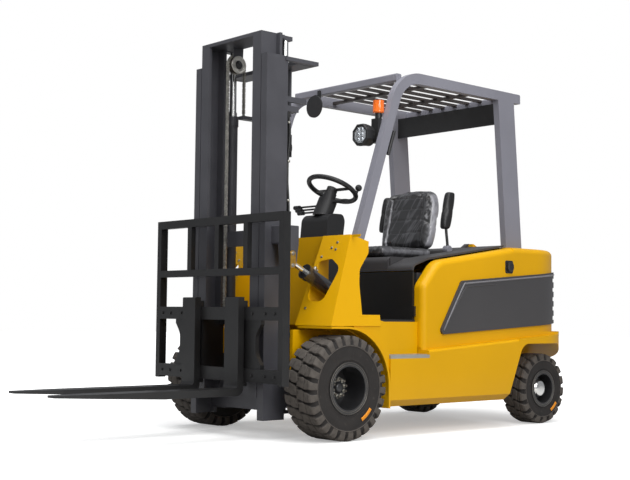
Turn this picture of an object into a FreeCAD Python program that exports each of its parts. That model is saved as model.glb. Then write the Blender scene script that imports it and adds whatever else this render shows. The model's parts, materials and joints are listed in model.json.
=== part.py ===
import FreeCAD, Part
import math
import os
import Sketcher

# Electric counterbalance forklift, four wheels, two-stage mast.
# The truck frame has its origin on the floor below the middle of the drive axle:
# +X is the truck's left, -Y is where the forks point, +Z is up.
# Every piece is drawn in the truck frame, and each finished piece is then moved along Y,
# so that the model's origin is the middle of the footprint, on the floor.

doc = FreeCAD.newDocument("ElectricForklift")
sheet = doc.addObject("Spreadsheet::Sheet", "Sizes")

# Name, value, what it is. Lengths in millimetres, angles in degrees, counts as they are.
SIZES = (
    ("seat_gap", 0.3, "gap between a moving piece and its seat"),
    ("run_gap", 5, "gap between pieces that pass each other"),
    ("plate", 12, "sheet thickness of the body panels"),
    ("wheelbase", 1780, "drive axle to steer axle"),
    ("rear_overhang", 370, "rearmost face of the counterweight behind the steer axle"),
    ("fork_tip", -1551, "foremost point of the forks"),
    # Wheels
    ("front_tyre_rad", 287, "front tyre, over the tread"),
    ("front_tyre_wide", 225, "front tyre width"),
    ("front_track_half", 548, "middle of a front tyre from the centre plane"),
    ("front_rim_rad", 127, "front rim under the bead"),
    ("front_dish", 58, "how far the front wheel disc sits in from the rim's middle"),
    ("front_lugs", 26, "lugs on each half of a front tyre, two more than a multiple of four"),
    ("rear_lugs", 18, "lugs on each half of a rear tyre, two more than a multiple of four"),
    ("lug_deep", 17, "depth of the tread"),
    ("lug_side", 8, "how far the lugs stand out from the sidewall"),
    ("lug_skirt", 20, "how far the lugs run down the sidewall"),
    ("lug_cross", 12, "how far the lugs run past the middle of the tread"),
    ("rear_tyre_rad", 224, "rear tyre, over the tread"),
    ("rear_tyre_wide", 170, "rear tyre width"),
    ("rear_track_half", 511, "middle of a rear tyre from the centre plane"),
    ("rear_rim_rad", 101, "rear rim under the bead"),
    ("rear_dish", 30, "how far the rear wheel disc sits in from the rim's middle"),
    ("rim_lip", 16, "rim flange above the bead seat"),
    ("rim_wall", 9, "rim wall thickness"),
    ("hub_rad", 62, "wheel hub"),
    ("front_spindle_rad", 30, "front wheel spindle"),
    ("rear_spindle_rad", 22, "rear wheel spindle"),
    # Chassis
    ("skirt_half", 640, "outer face of the lower body"),
    ("wall_deep", 120, "depth of the lower body's side walls"),
    ("skirt_low", 170, "underside of the lower body"),
    ("skirt_front", 334, "front end of the lower body, at the wheel arch"),
    ("bay_ahead", 300, "rear end of the battery bay ahead of the steer axle"),
    ("ledge_round", 16, "rounding of the ledge's outer edge"),
    ("skirt_chamfer", 38, "chamfer along the lower edge"),
    ("step_wide", 95, "width of the step"),
    ("step_rear", 655, "rear end of the step"),
    ("step_low", 441, "underside of the step tread"),
    ("step_thick", 18, "step tread thickness"),
    ("ledge_front_z", 485, "height of the body's ledge at its front"),
    ("ledge_rear_z", 590, "height of the body's ledge at the rear end"),
    ("floor_top", 660, "operator's floor"),
    ("floor_rear", 628, "rear edge of the floor"),
    ("firewall", 110, "front face of the wall behind the mast"),
    ("rail_in", 338, "inner face of the frame's front side plates"),
    ("rail_out", 360, "outer face of the frame's front side plates"),
    ("rail_front", -153, "front edge of the frame's front side plates"),
    ("rail_low", 225, "lower edge of the frame's front side plates"),
    ("arch_rad", 322, "front wheel arch about the axle"),
    ("rear_arch_top", 515, "top of the rear wheel arch"),
    ("rear_arch_ahead", 411, "front foot of the rear wheel arch ahead of the steer axle"),
    ("well_in", 158, "inner side of the rear wheel wells"),
    ("battery_gap", 20, "gap between the battery and its bay's walls"),
    ("battery_front", 690, "front face of the battery"),
    ("battery_top", 940, "top of the battery"),
    # Front cowl
    ("cowl_foot_y", -117, "lower front edge of the cowl"),
    ("cowl_foot_z", 624, "height of the cowl's lower edge"),
    ("cowl_inset", 5, "foot of the cowl inside the lower body's outer face"),
    ("cowl_top_y", 90, "upper front edge of the cowl"),
    ("cowl_top_z", 1133, "height of the cowl's upper edge"),
    ("cowl_taper", 73, "how far the cowl's sides lean in"),
    ("cowl_in", 335, "inner side of the cowl's two wings"),
    # Upper body
    ("cover_inset", 46, "side covers inside the lower body's outer face"),
    ("cover_front", 650, "front edge of the side covers"),
    ("cover_knee_z", 862, "height where the cover's front edge starts to lean back"),
    ("cover_shoulder_y", 780, "where the cover's top edge starts"),
    ("cover_shoulder_z", 1012, "height of the cover's top edge at its front"),
    ("cover_rear_z", 1118, "height of the cover's top edge at the battery bay's rear"),
    ("cover_round", 36, "rounding of the upper body's outer edge"),
    ("hood_thick", 12, "battery hood sheet"),
    ("hood_low", 950, "lower edge of the hood's front"),
    ("hood_gap", 5, "gap round the hood"),
    ("panel_proud", 14, "how far the dark side panels stand out"),
    ("panel_end", 96, "rear end of the side panels ahead of the rearmost face"),
    ("vent_count", 5, "slots at the rear end of each side panel"),
    ("vent_pitch", 62, "spacing of those slots"),
    ("vent_tall", 26, "height of a slot"),
    ("weight_top", 1122, "top of the counterweight"),
    ("weight_low", 250, "underside of the counterweight between the wheels"),
    ("weight_corner", 425, "plan radius of the counterweight's rear corners"),
    ("ledge_corner", 400, "plan radius of the ledge's rear corners"),
    ("jaw_half", 60, "half width of the towing jaw"),
    ("jaw_low", 400, "floor of the towing jaw"),
    ("jaw_high", 460, "roof of the towing jaw"),
    ("jaw_wall", 60, "wall above and below the towing jaw"),
    ("tow_rad", 16, "bore for the towing pin"),
    ("tow_setback", 45, "towing pin from the counterweight's rear face"),
    # Overhead guard
    ("guard_half", 504, "outer face of the guard's legs"),
    ("guard_wide", 44, "width of the guard's legs"),
    ("guard_top", 2136, "top of the guard"),
    ("post_foot_y", 181, "front of the front posts at their foot"),
    ("post_foot_z", 1100, "foot of the front posts"),
    ("post_head_y", 535, "where the posts' front line meets the roof line"),
    ("post_deep", 66, "depth of the front posts"),
    ("roof_deep", 66, "height of the roof rails"),
    ("roof_reach", 67, "roof rails behind the rear legs"),
    ("post_bend", 250, "outer bend of the front posts"),
    ("leg_foot", 35, "front of the rear legs' foot behind the battery bay"),
    ("leg_deep", 156, "depth of the rear legs"),
    ("leg_forward", 81, "how far the rear legs lean forward"),
    ("slat_count", 7, "roof slats"),
    ("slat_wide", 34, "width of a roof slat"),
    ("slat_thick", 14, "thickness of a roof slat"),
    ("board_low", 1929, "lower edge of the board between the rear legs"),
    # Mast
    ("mast_half", 332, "outer face of the outer mast rails"),
    ("mast_front", -338, "front face of the outer mast rails"),
    ("mast_rear", -186, "rear face of the outer mast rails"),
    ("mast_low", 105, "lower end of the outer mast"),
    ("mast_top", 2131, "top of the outer mast rails"),
    ("mast_web", 18, "web of a mast rail"),
    ("mast_flange", 20, "flange of a mast rail"),
    ("mast_reach", 50, "flange width of the outer rails"),
    ("inner_low", 225, "lower end of the inner mast as it stands"),
    ("inner_top", 2264, "top of the inner mast as it stands"),
    ("inner_in", 204, "inner edge of the inner mast's flanges"),
    ("tie_drop", 26, "underside of the outer mast's top tie below the rails' top"),
    ("tie_thick", 22, "thickness of the outer mast's top tie"),
    ("tie_rear", 36, "rear edge of the outer mast's top tie"),
    ("tie_deep", 128, "depth of that tie's plate"),
    ("lift_x", 238, "lift cylinders from the centre plane"),
    ("lift_y", -134, "lift cylinders' axis"),
    ("lift_tube_rad", 31, "lift cylinder tube"),
    ("lift_rod_rad", 21, "lift cylinder rod"),
    ("lift_tube_low", 150, "foot of the lift cylinders"),
    ("lift_tube_top", 1860, "head of the lift cylinders"),
    ("ear_thick", 24, "thickness of the inner mast's ears on the lift rods"),
    ("chain_x", 126, "chains from the centre plane"),
    ("chain_y", -200, "axis of the chain pulleys"),
    ("pulley_drop", 120, "chain pulleys' axis below the inner mast's top"),
    ("pulley_rad", 54, "chain pulley under the chain"),
    ("chain_wide", 24, "chain width"),
    ("chain_thick", 12, "chain thickness"),
    ("axle_rad", 75, "drive axle housing"),
    ("axle_half", 428, "end of the drive axle housing"),
    # Carriage and forks
    ("carriage_front", -418, "front plane of the fork carriage"),
    ("carriage_bar", 34, "thickness of the carriage bars"),
    ("carriage_low", 315, "lower edge of the lower bar as it stands"),
    ("carriage_high", 722, "upper edge of the upper bar as it stands"),
    ("bar_tall", 72, "height of the carriage bars"),
    ("carriage_half", 550, "half width of the carriage bars"),
    ("backrest_half", 588, "half width of the load backrest"),
    ("backrest_top", 1229, "top of the load backrest"),
    ("backrest_mid", 915, "middle of the backrest's cross bar"),
    ("backrest_post", 38, "width of the backrest's outer posts"),
    ("backrest_deep", 48, "depth of the backrest's outer posts"),
    ("fork_x", 200, "middle of a fork from the centre plane"),
    ("fork_wide", 122, "fork width"),
    ("fork_thick", 40, "fork thickness"),
    ("fork_blade_top", 280, "top of the blades as they stand"),
    ("fork_head", 776, "top of the fork shanks as they stand"),
    ("fork_tip_wide", 64, "fork width at the tip"),
    ("fork_tip_thick", 12, "fork thickness at the tip"),
    # Tilt cylinders
    ("tilt_x", 410, "tilt cylinders from the centre plane"),
    ("tilt_pin_y", -236, "mast end pin of the tilt cylinders"),
    ("tilt_pin_z", 984, "height of the mast end pin"),
    ("tilt_foot_y", 226, "chassis end pin of the tilt cylinders"),
    ("tilt_foot_z", 750, "height of the chassis end pin"),
    ("tilt_tube_rad", 40, "tilt cylinder tube"),
    ("tilt_rod_rad", 15, "tilt cylinder rod"),
    ("tilt_pin_rad", 12, "tilt cylinder pins"),
    ("tilt_ear_in", 18, "gap from a tilt cylinder's middle to the mast's ears"),
    ("tilt_play", 7.5, "play of the rod's open eye round its pin"),
    # Lamps, handle and mirror on the guard
    ("lamp_wide", 56, "width of the headlamps' brackets"),
    ("lamp_y", 336, "front of the headlamps"),
    ("lamp_z", 1738, "height of the headlamps"),
    ("lamp_rad", 60, "headlamp drum"),
    ("lamp_deep", 62, "depth of the headlamp drums"),
    ("turn_rad", 33, "turn lamps"),
    ("turn_tall", 74, "height of the turn lamps"),
    ("handle_z", 1624, "foot of the grab handle"),
    ("handle_long", 150, "length of the grab handle"),
    ("mirror_x", -216, "mirror from the centre plane"),
    ("mirror_z", 1999, "height of the mirror"),
    ("mirror_rad", 70, "mirror"),
    # Steering and steer axle
    ("king_x", 380, "king pins from the centre plane"),
    ("king_rad", 16, "king pins"),
    ("king_top", 110, "top of the axle's mounting block above the hub line"),
    ("king_half", 86, "half the height between the axle's fork arms and the hub line"),
    ("wheel_lean", 26, "lean of the steering column"),
    ("wheel_y", 462, "steering wheel centre"),
    ("wheel_z", 1455, "steering wheel centre height"),
    ("column_long", 230, "steering column below the wheel's centre"),
    ("dash_half", 120, "half width of the steering column's housing"),
    ("dash_top", 1292, "top of the steering column's housing"),
    ("wheel_ring", 152, "steering wheel ring"),
    ("wheel_grip", 15, "steering wheel grip"),
    ("knob_rad", 21, "knob on the steering wheel"),
    # Seat
    ("seat_rear", 1132, "rear face of the seat cushion"),
    ("seat_pan", 1040, "top of the hood's sunken middle, under the seat"),
    ("seat_low", 1056, "underside of the seat cushion"),
    ("seat_top", 1104, "top of the seat cushion"),
    ("hinge_back", 6, "axis of the battery hood's hinge behind the bay"),
    ("hinge_z", 1146, "height of the hood's hinge"),
    ("hinge_rad", 6, "pin of the hood's hinge"),
    ("seat_half", 238, "half the seat's width"),
    ("seat_back_top", 1488, "top of the seat's back"),
    ("arm_pivot_z", 1108, "height of the armrests' pivots"),
)


class Size:
    """A number that carries the sheet formula which gives it, through sums and products."""

    def __init__(self, value, formula):
        self.value = value
        self.formula = formula

    def __add__(self, other):
        other = sized(other)
        return Size(self.value + other.value, f"({self.formula} + {other.formula})")

    def __sub__(self, other):
        other = sized(other)
        return Size(self.value - other.value, f"({self.formula} - {other.formula})")

    def __mul__(self, other):
        other = sized(other)
        return Size(self.value * other.value, f"{self.formula} * {other.formula}")

    def __truediv__(self, other):
        other = sized(other)
        return Size(self.value / other.value, f"{self.formula} / {other.formula}")

    def __neg__(self):
        return Size(-self.value, f"(0 - {self.formula})")

    __radd__ = __add__
    __rmul__ = __mul__

    def __rsub__(self, other):
        return sized(other) - self


def sized(value):
    if isinstance(value, Size):
        return value
    return Size(float(value), f"({float(value):.6f})")


def size_function(word, function):
    """A function of a Size that keeps the formula, such as the sine of an angle in degrees."""
    return lambda value: Size(function(sized(value).value), f"{word}({sized(value).formula})")


sine = size_function("sin", lambda degrees: math.sin(math.radians(degrees)))
cosine = size_function("cos", lambda degrees: math.cos(math.radians(degrees)))
root = size_function("sqrt", math.sqrt)


class Sheet:
    """Each size of the table as an attribute."""


S = Sheet()
for row, (alias, value, meaning) in enumerate(SIZES, start=1):
    sheet.set(f"A{row}", meaning)
    sheet.set(f"B{row}", str(value))
    sheet.setAlias(f"B{row}", alias)
    setattr(S, alias, Size(float(value), f"Sizes.{alias}"))
doc.recompute()

# Places that follow from the wheelbase, the body's width and the mast's height.
S.rear_end = S.wheelbase + S.rear_overhang
S.bay_rear = S.wheelbase - S.bay_ahead
S.rear_arch_foot = S.wheelbase - S.rear_arch_ahead
S.skirt_in = S.skirt_half - S.wall_deep
S.sill_half = S.skirt_half - S.step_wide
S.floor_half = S.sill_half
S.cover_half = S.skirt_half - S.cover_inset
S.weight_half = S.cover_half
S.cowl_foot_half = S.skirt_half - S.cowl_inset
S.cowl_top_half = S.cowl_foot_half - S.cowl_taper
S.battery_half = S.skirt_in - S.battery_gap
S.bay_wall = S.bay_rear - 35
S.battery_rear = S.bay_wall - 8
S.leg_foot_front = S.bay_rear + S.leg_foot
S.leg_foot_rear = S.leg_foot_front + S.leg_deep
S.leg_head_front = S.leg_foot_front - S.leg_forward
S.leg_head_rear = S.leg_head_front + S.leg_deep
S.roof_rear = S.leg_head_rear + S.roof_reach
S.hinge_y = S.bay_rear + S.hinge_back
S.tie_low = S.mast_top - S.tie_drop
S.pulley_z = S.inner_top - S.pulley_drop

# The truck frame's middle, from the fork tips to the counterweight.
shift_y = -(S.fork_tip + S.rear_end) / 2
SIDES = (("left", 1), ("right", -1))
PLANES = {"side": "YZ_Plane", "front": "XZ_Plane", "top": "XY_Plane"}
BIG = 3000
nodes = []


def bind(thing, path, value):
    thing.setExpression(path, sized(value).formula)


def numbers(*values):
    return [sized(value).value for value in values]


def box_outline(u_low, v_low, u_high, v_high, radius=0):
    return [(u_low, v_low, radius), (u_high, v_low, radius),
            (u_high, v_high, radius), (u_low, v_high, radius)]


def flip(outline, side):
    """The outline, or its mirror image in the line u = 0."""
    if side > 0:
        return outline
    return [(-sized(corner[0]),) + tuple(corner[1:]) for corner in reversed(outline)]


def fix_point(sketch, shape, end, u, v):
    """Hold a point of the sketch at (u, v) by two distances from the origin."""
    for kind, value in (("DistanceX", u), ("DistanceY", v)):
        index = sketch.addConstraint(
            Sketcher.Constraint(kind, -1, 1, shape, end, sized(value).value))
        bind(sketch, f"Constraints[{index}]", value)


def draw_circle(sketch, u, v, radius):
    centre_u, centre_v, round_rad = numbers(u, v, radius)
    centre = FreeCAD.Vector(centre_u, centre_v, 0)
    ring = sketch.addGeometry(Part.Circle(centre, FreeCAD.Vector(0, 0, 1), round_rad))
    fix_point(sketch, ring, 3, u, v)
    index = sketch.addConstraint(Sketcher.Constraint("Radius", ring, round_rad))
    bind(sketch, f"Constraints[{index}]", radius)


def draw_loop(sketch, corners):
    """A closed outline through (u, v) or (u, v, radius) corners, the rounded ones as tangent arcs."""
    count = len(corners)
    points = [FreeCAD.Vector(*numbers(c[0], c[1]), 0) for c in corners]
    radii = [sized(c[2]).value if len(c) > 2 else 0.0 for c in corners]
    arrive, leave, centres, turns = [], [], [], []
    for i in range(count):
        into = (points[i] - points[i - 1]).normalize()
        out = (points[(i + 1) % count] - points[i]).normalize()
        turn = math.atan2(into.cross(out).z, into.dot(out))
        back = radii[i] * math.tan(abs(turn) / 2)
        arrive.append(points[i] - into * back)
        leave.append(points[i] + out * back)
        left = FreeCAD.Vector(-into.y, into.x, 0) * math.copysign(radii[i], turn)
        centres.append(arrive[i] + left)
        turns.append(turn)
    lines = [sketch.addGeometry(Part.LineSegment(leave[i], arrive[(i + 1) % count]))
             for i in range(count)]
    for i in range(count):
        before, after = lines[i - 1], lines[i]
        if radii[i] < 1e-6:
            sketch.addConstraint(Sketcher.Constraint("Coincident", before, 2, after, 1))
            fix_point(sketch, after, 1, corners[i][0], corners[i][1])
            continue
        ends = (arrive[i], leave[i]) if turns[i] > 0 else (leave[i], arrive[i])
        first, last = [math.atan2(p.y - centres[i].y, p.x - centres[i].x) for p in ends]
        if last < first:
            last += 2 * math.pi
        circle = Part.Circle(centres[i], FreeCAD.Vector(0, 0, 1), radii[i])
        arc = sketch.addGeometry(Part.ArcOfCircle(circle, first, last))
        near, far = (1, 2) if turns[i] > 0 else (2, 1)
        sketch.addConstraint(Sketcher.Constraint("Tangent", before, 2, arc, near))
        sketch.addConstraint(Sketcher.Constraint("Tangent", arc, far, after, 1))
        corner = sketch.addGeometry(Part.Point(points[i]), True)
        sketch.addConstraint(Sketcher.Constraint("PointOnObject", corner, 1, before))
        sketch.addConstraint(Sketcher.Constraint("PointOnObject", corner, 1, after))
        fix_point(sketch, corner, 1, corners[i][0], corners[i][1])
        index = sketch.addConstraint(Sketcher.Constraint("Radius", arc, radii[i]))
        bind(sketch, f"Constraints[{index}]", corners[i][2])


def draw(sketch, outlines):
    """Each outline is a list of corners, or a (u, v, radius) circle."""
    for outline in outlines:
        if isinstance(outline, tuple):
            draw_circle(sketch, *outline)
        else:
            draw_loop(sketch, outline)


class Piece:
    """A body made of sketches on the three planes, padded, cut and turned."""

    def __init__(self, name):
        self.name = name
        self.body = doc.addObject("PartDesign::Body", name)
        self.body.Label = name
        self.tip = None

    def sketch(self, view, level, outlines):
        sketch = self.body.newObject("Sketcher::SketchObject", self.name + "_sketch")
        plane = [f for f in self.body.Origin.OriginFeatures if f.Role == PLANES[view]][0]
        sketch.AttachmentSupport = [(plane, "")]
        sketch.MapMode = "FlatFace"
        bind(sketch, "AttachmentOffset.Base.z", -sized(level) if view == "front" else level)
        draw(sketch, outlines)
        return sketch

    def pad(self, view, low, high, *outlines):
        start = high if view == "front" else low
        sketch = self.sketch(view, start, outlines)
        self.tip = self.body.newObject("PartDesign::Pad", self.name + "_pad")
        self.tip.Profile = sketch
        bind(self.tip, "Length", sized(high) - low)
        sketch.Visibility = False
        return self

    def pocket(self, view, low, high, *outlines):
        start = low if view == "front" else high
        sketch = self.sketch(view, start, outlines)
        self.tip = self.body.newObject("PartDesign::Pocket", self.name + "_pocket")
        self.tip.Profile = sketch
        bind(self.tip, "Length", sized(high) - low)
        sketch.Visibility = False
        return self

    def turn(self, *outlines):
        """Turn outlines (x, radius) about the X axis."""
        sketch = self.sketch("front", 0, outlines)
        self.tip = self.body.newObject("PartDesign::Revolution", self.name + "_turned")
        self.tip.Profile = sketch
        self.tip.ReferenceAxis = (sketch, ["H_Axis"])
        self.tip.Angle = 360
        return self

    def repeat(self, count):
        """Repeat the last pad round the X axis."""
        axis = [f for f in self.body.Origin.OriginFeatures if f.Role == "X_Axis"][0]
        pad = self.tip
        self.tip = self.body.newObject("PartDesign::PolarPattern", self.name + "_ring")
        self.tip.Originals = [pad]
        self.tip.Axis = (axis, [""])
        self.tip.Angle = 360
        bind(self.tip, "Occurrences", count)
        self.body.Tip = self.tip
        return self

    def edges(self, wanted):
        doc.recompute()
        found = []
        for number, edge in enumerate(self.tip.Shape.Edges, start=1):
            if wanted(edge):
                found.append(f"Edge{number}")
        if not found:
            raise ValueError("no edge found on " + self.name)
        return found

    def fillet(self, radius, wanted):
        base, names = self.tip, self.edges(wanted)
        self.tip = self.body.newObject("PartDesign::Fillet", self.name + "_fillet")
        self.tip.Base = (base, names)
        bind(self.tip, "Radius", radius)
        return self

    def chamfer(self, size, wanted):
        base, names = self.tip, self.edges(wanted)
        self.tip = self.body.newObject("PartDesign::Chamfer", self.name + "_chamfer")
        self.tip.Base = (base, names)
        bind(self.tip, "Size", size)
        return self

    def done(self, x=0, y=0, z=0):
        finish(self.body, self.name, x, y, z)
        return self


def finish(thing, name, x=0, y=0, z=0):
    """Name a finished piece and move it from the truck frame to the model's."""
    thing.Label = name
    bind(thing, "Placement.Base.x", x)
    bind(thing, "Placement.Base.y", sized(y) + shift_y)
    bind(thing, "Placement.Base.z", z)
    nodes.append(thing)


def put(thing, x, y, z):
    for axis, value in (("x", x), ("y", y), ("z", z)):
        bind(thing, f"Placement.Base.{axis}", value)


def block(name, x_low, x_high, y_low, y_high, z_low, z_high):
    box = doc.addObject("Part::Box", name)
    bind(box, "Length", sized(x_high) - x_low)
    bind(box, "Width", sized(y_high) - y_low)
    bind(box, "Height", sized(z_high) - z_low)
    put(box, x_low, y_low, z_low)
    return box


AXES = {"x": ((0, 1, 0), 90), "y": ((1, 0, 0), -90), "z": ((0, 0, 1), 0)}


def rod(name, axis, x, y, z, radius, length):
    """A cylinder from a point along +X, +Y or +Z."""
    cylinder = doc.addObject("Part::Cylinder", name)
    turn_axis, angle = AXES[axis]
    cylinder.Placement.Rotation = FreeCAD.Rotation(FreeCAD.Vector(*turn_axis), angle)
    bind(cylinder, "Radius", radius)
    bind(cylinder, "Height", length)
    put(cylinder, x, y, z)
    return cylinder


def leaning_rod(name, x, y, z, lean, radius, length):
    """A cylinder from a point upwards, leaning rearwards by an angle in degrees."""
    cylinder = doc.addObject("Part::Cylinder", name)
    cylinder.Placement.Rotation = FreeCAD.Rotation(FreeCAD.Vector(-1, 0, 0), sized(lean).value)
    bind(cylinder, "Placement.Rotation.Angle", lean)
    bind(cylinder, "Radius", radius)
    bind(cylinder, "Height", length)
    put(cylinder, x, y, z)
    return cylinder


def join(name, things):
    fused = doc.addObject("Part::MultiFuse", name)
    fused.Shapes = things
    fused.Refine = True
    return fused


def cut(name, base, tool):
    result = doc.addObject("Part::Cut", name)
    result.Base = base
    result.Tool = tool
    result.Refine = True
    return result


def along_y(edge):
    ends = edge.BoundBox
    return ends.XLength < 0.01 and ends.ZLength < 0.01


def near(value, target, slack=0.5):
    return abs(value - sized(target).value) < slack


# Driving lines that several pieces share.
ledge_slope = (S.ledge_rear_z - S.ledge_front_z) / (S.rear_end - S.step_rear)


def ledge_z(y):
    return S.ledge_front_z + (y - S.step_rear) * ledge_slope


cover_slope = (S.cover_rear_z - S.cover_shoulder_z) / (S.bay_rear - S.cover_shoulder_y)


def cover_z(y):
    return S.cover_shoulder_z + (y - S.cover_shoulder_y) * cover_slope


post_lean = (S.post_head_y - S.post_foot_y) / (S.guard_top - S.post_foot_z)


def post_rear(z):
    return S.post_foot_y + S.post_deep + (z - S.post_foot_z) * post_lean


leg_lean = (S.leg_foot_rear - S.leg_head_rear) / (
    S.guard_top - S.roof_deep + 20 - S.weight_top)


def leg_rear(z):
    return S.leg_foot_rear - (z - S.weight_top) * leg_lean


rear_arch = [(S.rear_arch_foot, S.skirt_low - 60), (S.rear_arch_foot, S.skirt_low),
             (S.rear_arch_foot + 150, S.rear_arch_top, 90),
             (S.rear_end - 240, S.rear_arch_top, 60), (S.rear_end + 60, S.skirt_low + 200),
             (S.rear_end + 60, S.skirt_low - 60)]


def make_wheel(place, side, lugs, tyre_rad, wide, rim_rad, dish, spindle_rad, x, y, z):
    """A solid tyre on its dished rim, both about the X axis, the disc set towards the truck."""
    half = wide / 2
    bead = half - S.lug_side
    lip_rad = rim_rad + S.rim_lip
    count = int(lugs.value)
    core = tyre_rad - S.lug_deep
    casing = []
    for number in range(2 * count):
        angle = math.pi * (number + 0.5) / count
        corner = core / math.cos(math.pi / (2 * count))
        casing.append((corner * math.sin(angle), corner * math.cos(angle)))
    tyre = Piece(f"tyre_{place}")
    tyre.pad("side", -bead, bead, casing, (0, 0, rim_rad))
    # One slanting lug for each half, repeated round the axle. The second starts a quarter turn
    # from the first, which is half a pitch more than a whole number of lugs.
    lug = tyre_rad * 1.96 / count
    for view, hand in (("top", 1), ("front", -1)):
        tyre.pad(view, core - S.lug_skirt, tyre_rad, flip([
            (-S.lug_cross, 0), (half, -lug * 0.75),
            (half, lug * 0.32), (-S.lug_cross, lug * 0.75)], hand))
        tyre.repeat(lugs)
    tyre.done(x, y, z)
    rim = Piece(f"rim_{place}")
    inward = -side
    rim.turn(
        [(-bead, rim_rad - S.rim_wall), (bead, rim_rad - S.rim_wall), (bead, rim_rad),
         (-bead, rim_rad)],
        [(bead, rim_rad - S.rim_wall), (bead + 6, rim_rad - S.rim_wall), (bead + 6, lip_rad),
         (bead, lip_rad)],
        [(-bead - 6, rim_rad - S.rim_wall), (-bead, rim_rad - S.rim_wall), (-bead, lip_rad),
         (-bead - 6, lip_rad)])
    disc = sorted((dish * inward, (dish - 14) * inward), key=lambda size: size.value)
    rim.turn(box_outline(disc[0], spindle_rad + S.seat_gap, disc[1], rim_rad - S.rim_wall))
    hub = sorted(((dish + 4) * inward, (dish - 66) * inward), key=lambda size: size.value)
    rim.turn(box_outline(hub[0], spindle_rad + S.seat_gap, hub[1], S.hub_rad))
    cap = sorted(((dish - 66) * inward, (dish - 78) * inward), key=lambda size: size.value)
    rim.turn(box_outline(cap[0], 0, cap[1], S.hub_rad - 8))
    rim.done(x, y, z)


def wheels():
    for word, side in SIDES:
        make_wheel(f"front_{word}", side, S.front_lugs, S.front_tyre_rad, S.front_tyre_wide,
                   S.front_rim_rad, S.front_dish, S.front_spindle_rad, S.front_track_half * side, 0,
                   S.front_tyre_rad)
        make_wheel(f"rear_{word}", side, S.rear_lugs, S.rear_tyre_rad, S.rear_tyre_wide,
                   S.rear_rim_rad, S.rear_dish, S.rear_spindle_rad, S.rear_track_half * side, S.wheelbase,
                   S.rear_tyre_rad)


def chassis_frame():
    piece = Piece("chassis_frame")
    skirt = [(S.skirt_front, S.skirt_low), (S.bay_rear, S.skirt_low),
             (S.bay_rear, ledge_z(S.bay_rear)), (S.step_rear, S.ledge_front_z),
             (S.step_rear, S.step_low), (S.skirt_front, S.step_low)]
    for word, side in SIDES:
        low, high = sorted((S.skirt_in * side, S.skirt_half * side), key=lambda size: size.value)
        piece.pad("side", low, high, skirt)
    outer = S.skirt_half.value
    piece.chamfer(S.skirt_chamfer, lambda e: along_y(e) and near(e.BoundBox.ZMin, S.skirt_low)
                  and near(abs(e.BoundBox.XMin), outer))
    rounded = ledge_z(S.bay_rear).value
    piece.fillet(S.ledge_round, lambda e: near(abs(e.BoundBox.XMin), outer) and
                 near(abs(e.BoundBox.XMax), outer) and near(e.BoundBox.ZMax, rounded) and
                 e.BoundBox.YLength > 100)
    piece.pad("top", S.skirt_low, S.skirt_low + S.plate,
              box_outline(-S.skirt_in, S.skirt_front, S.skirt_in, S.bay_wall + S.plate))
    piece.pad("front", S.skirt_front, S.skirt_front + S.plate,
              box_outline(-S.skirt_in, S.skirt_low, S.skirt_in, S.floor_top - S.plate))
    piece.pad("front", S.bay_wall, S.bay_wall + S.plate,
              box_outline(-S.skirt_in, S.skirt_low, S.skirt_in, S.battery_top))
    for word, side in SIDES:
        low, high = sorted(((S.sill_half - S.plate) * side, S.sill_half * side),
                           key=lambda size: size.value)
        piece.pad("side", low, high, box_outline(
            S.skirt_front, S.step_low - 10, S.cover_front, S.floor_top - S.plate))
        low, high = sorted(((S.skirt_in - 5) * side, S.sill_half * side),
                           key=lambda size: size.value)
        piece.pad("side", low, high, box_outline(
            S.skirt_front, S.step_low - 20, S.step_rear, S.step_low - 5))
        low, high = sorted((S.rail_in * side, S.rail_out * side), key=lambda size: size.value)
        piece.pad("side", low, high, [
            (S.rail_front, S.rail_low + 60, 30), (S.rail_front + 60, S.rail_low),
            (S.skirt_front, S.rail_low), (S.skirt_front, S.floor_top - S.plate),
            (S.tilt_foot_y + 46, S.floor_top - S.plate),
            (S.tilt_foot_y + 34, S.tilt_foot_z + 30, 12),
            (S.tilt_foot_y - 34, S.tilt_foot_z + 30, 12),
            (S.tilt_foot_y - 60, S.cowl_foot_z - 24), (S.rail_front, S.cowl_foot_z - 24)])
        piece.pocket("side", low - 1, high + 1, (0, S.front_tyre_rad, S.axle_rad))
        low, high = sorted((S.rail_out * side, (S.tilt_x + 20) * side),
                           key=lambda size: size.value)
        piece.pad("side", low, high, (S.tilt_foot_y, S.tilt_foot_z, S.tilt_pin_rad))
    for word, side in SIDES:
        low, high = sorted(((S.skirt_in - 1) * side, (S.skirt_half + 1) * side),
                           key=lambda size: size.value)
        piece.pocket("side", low, high, rear_arch)
    piece.done()


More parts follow.
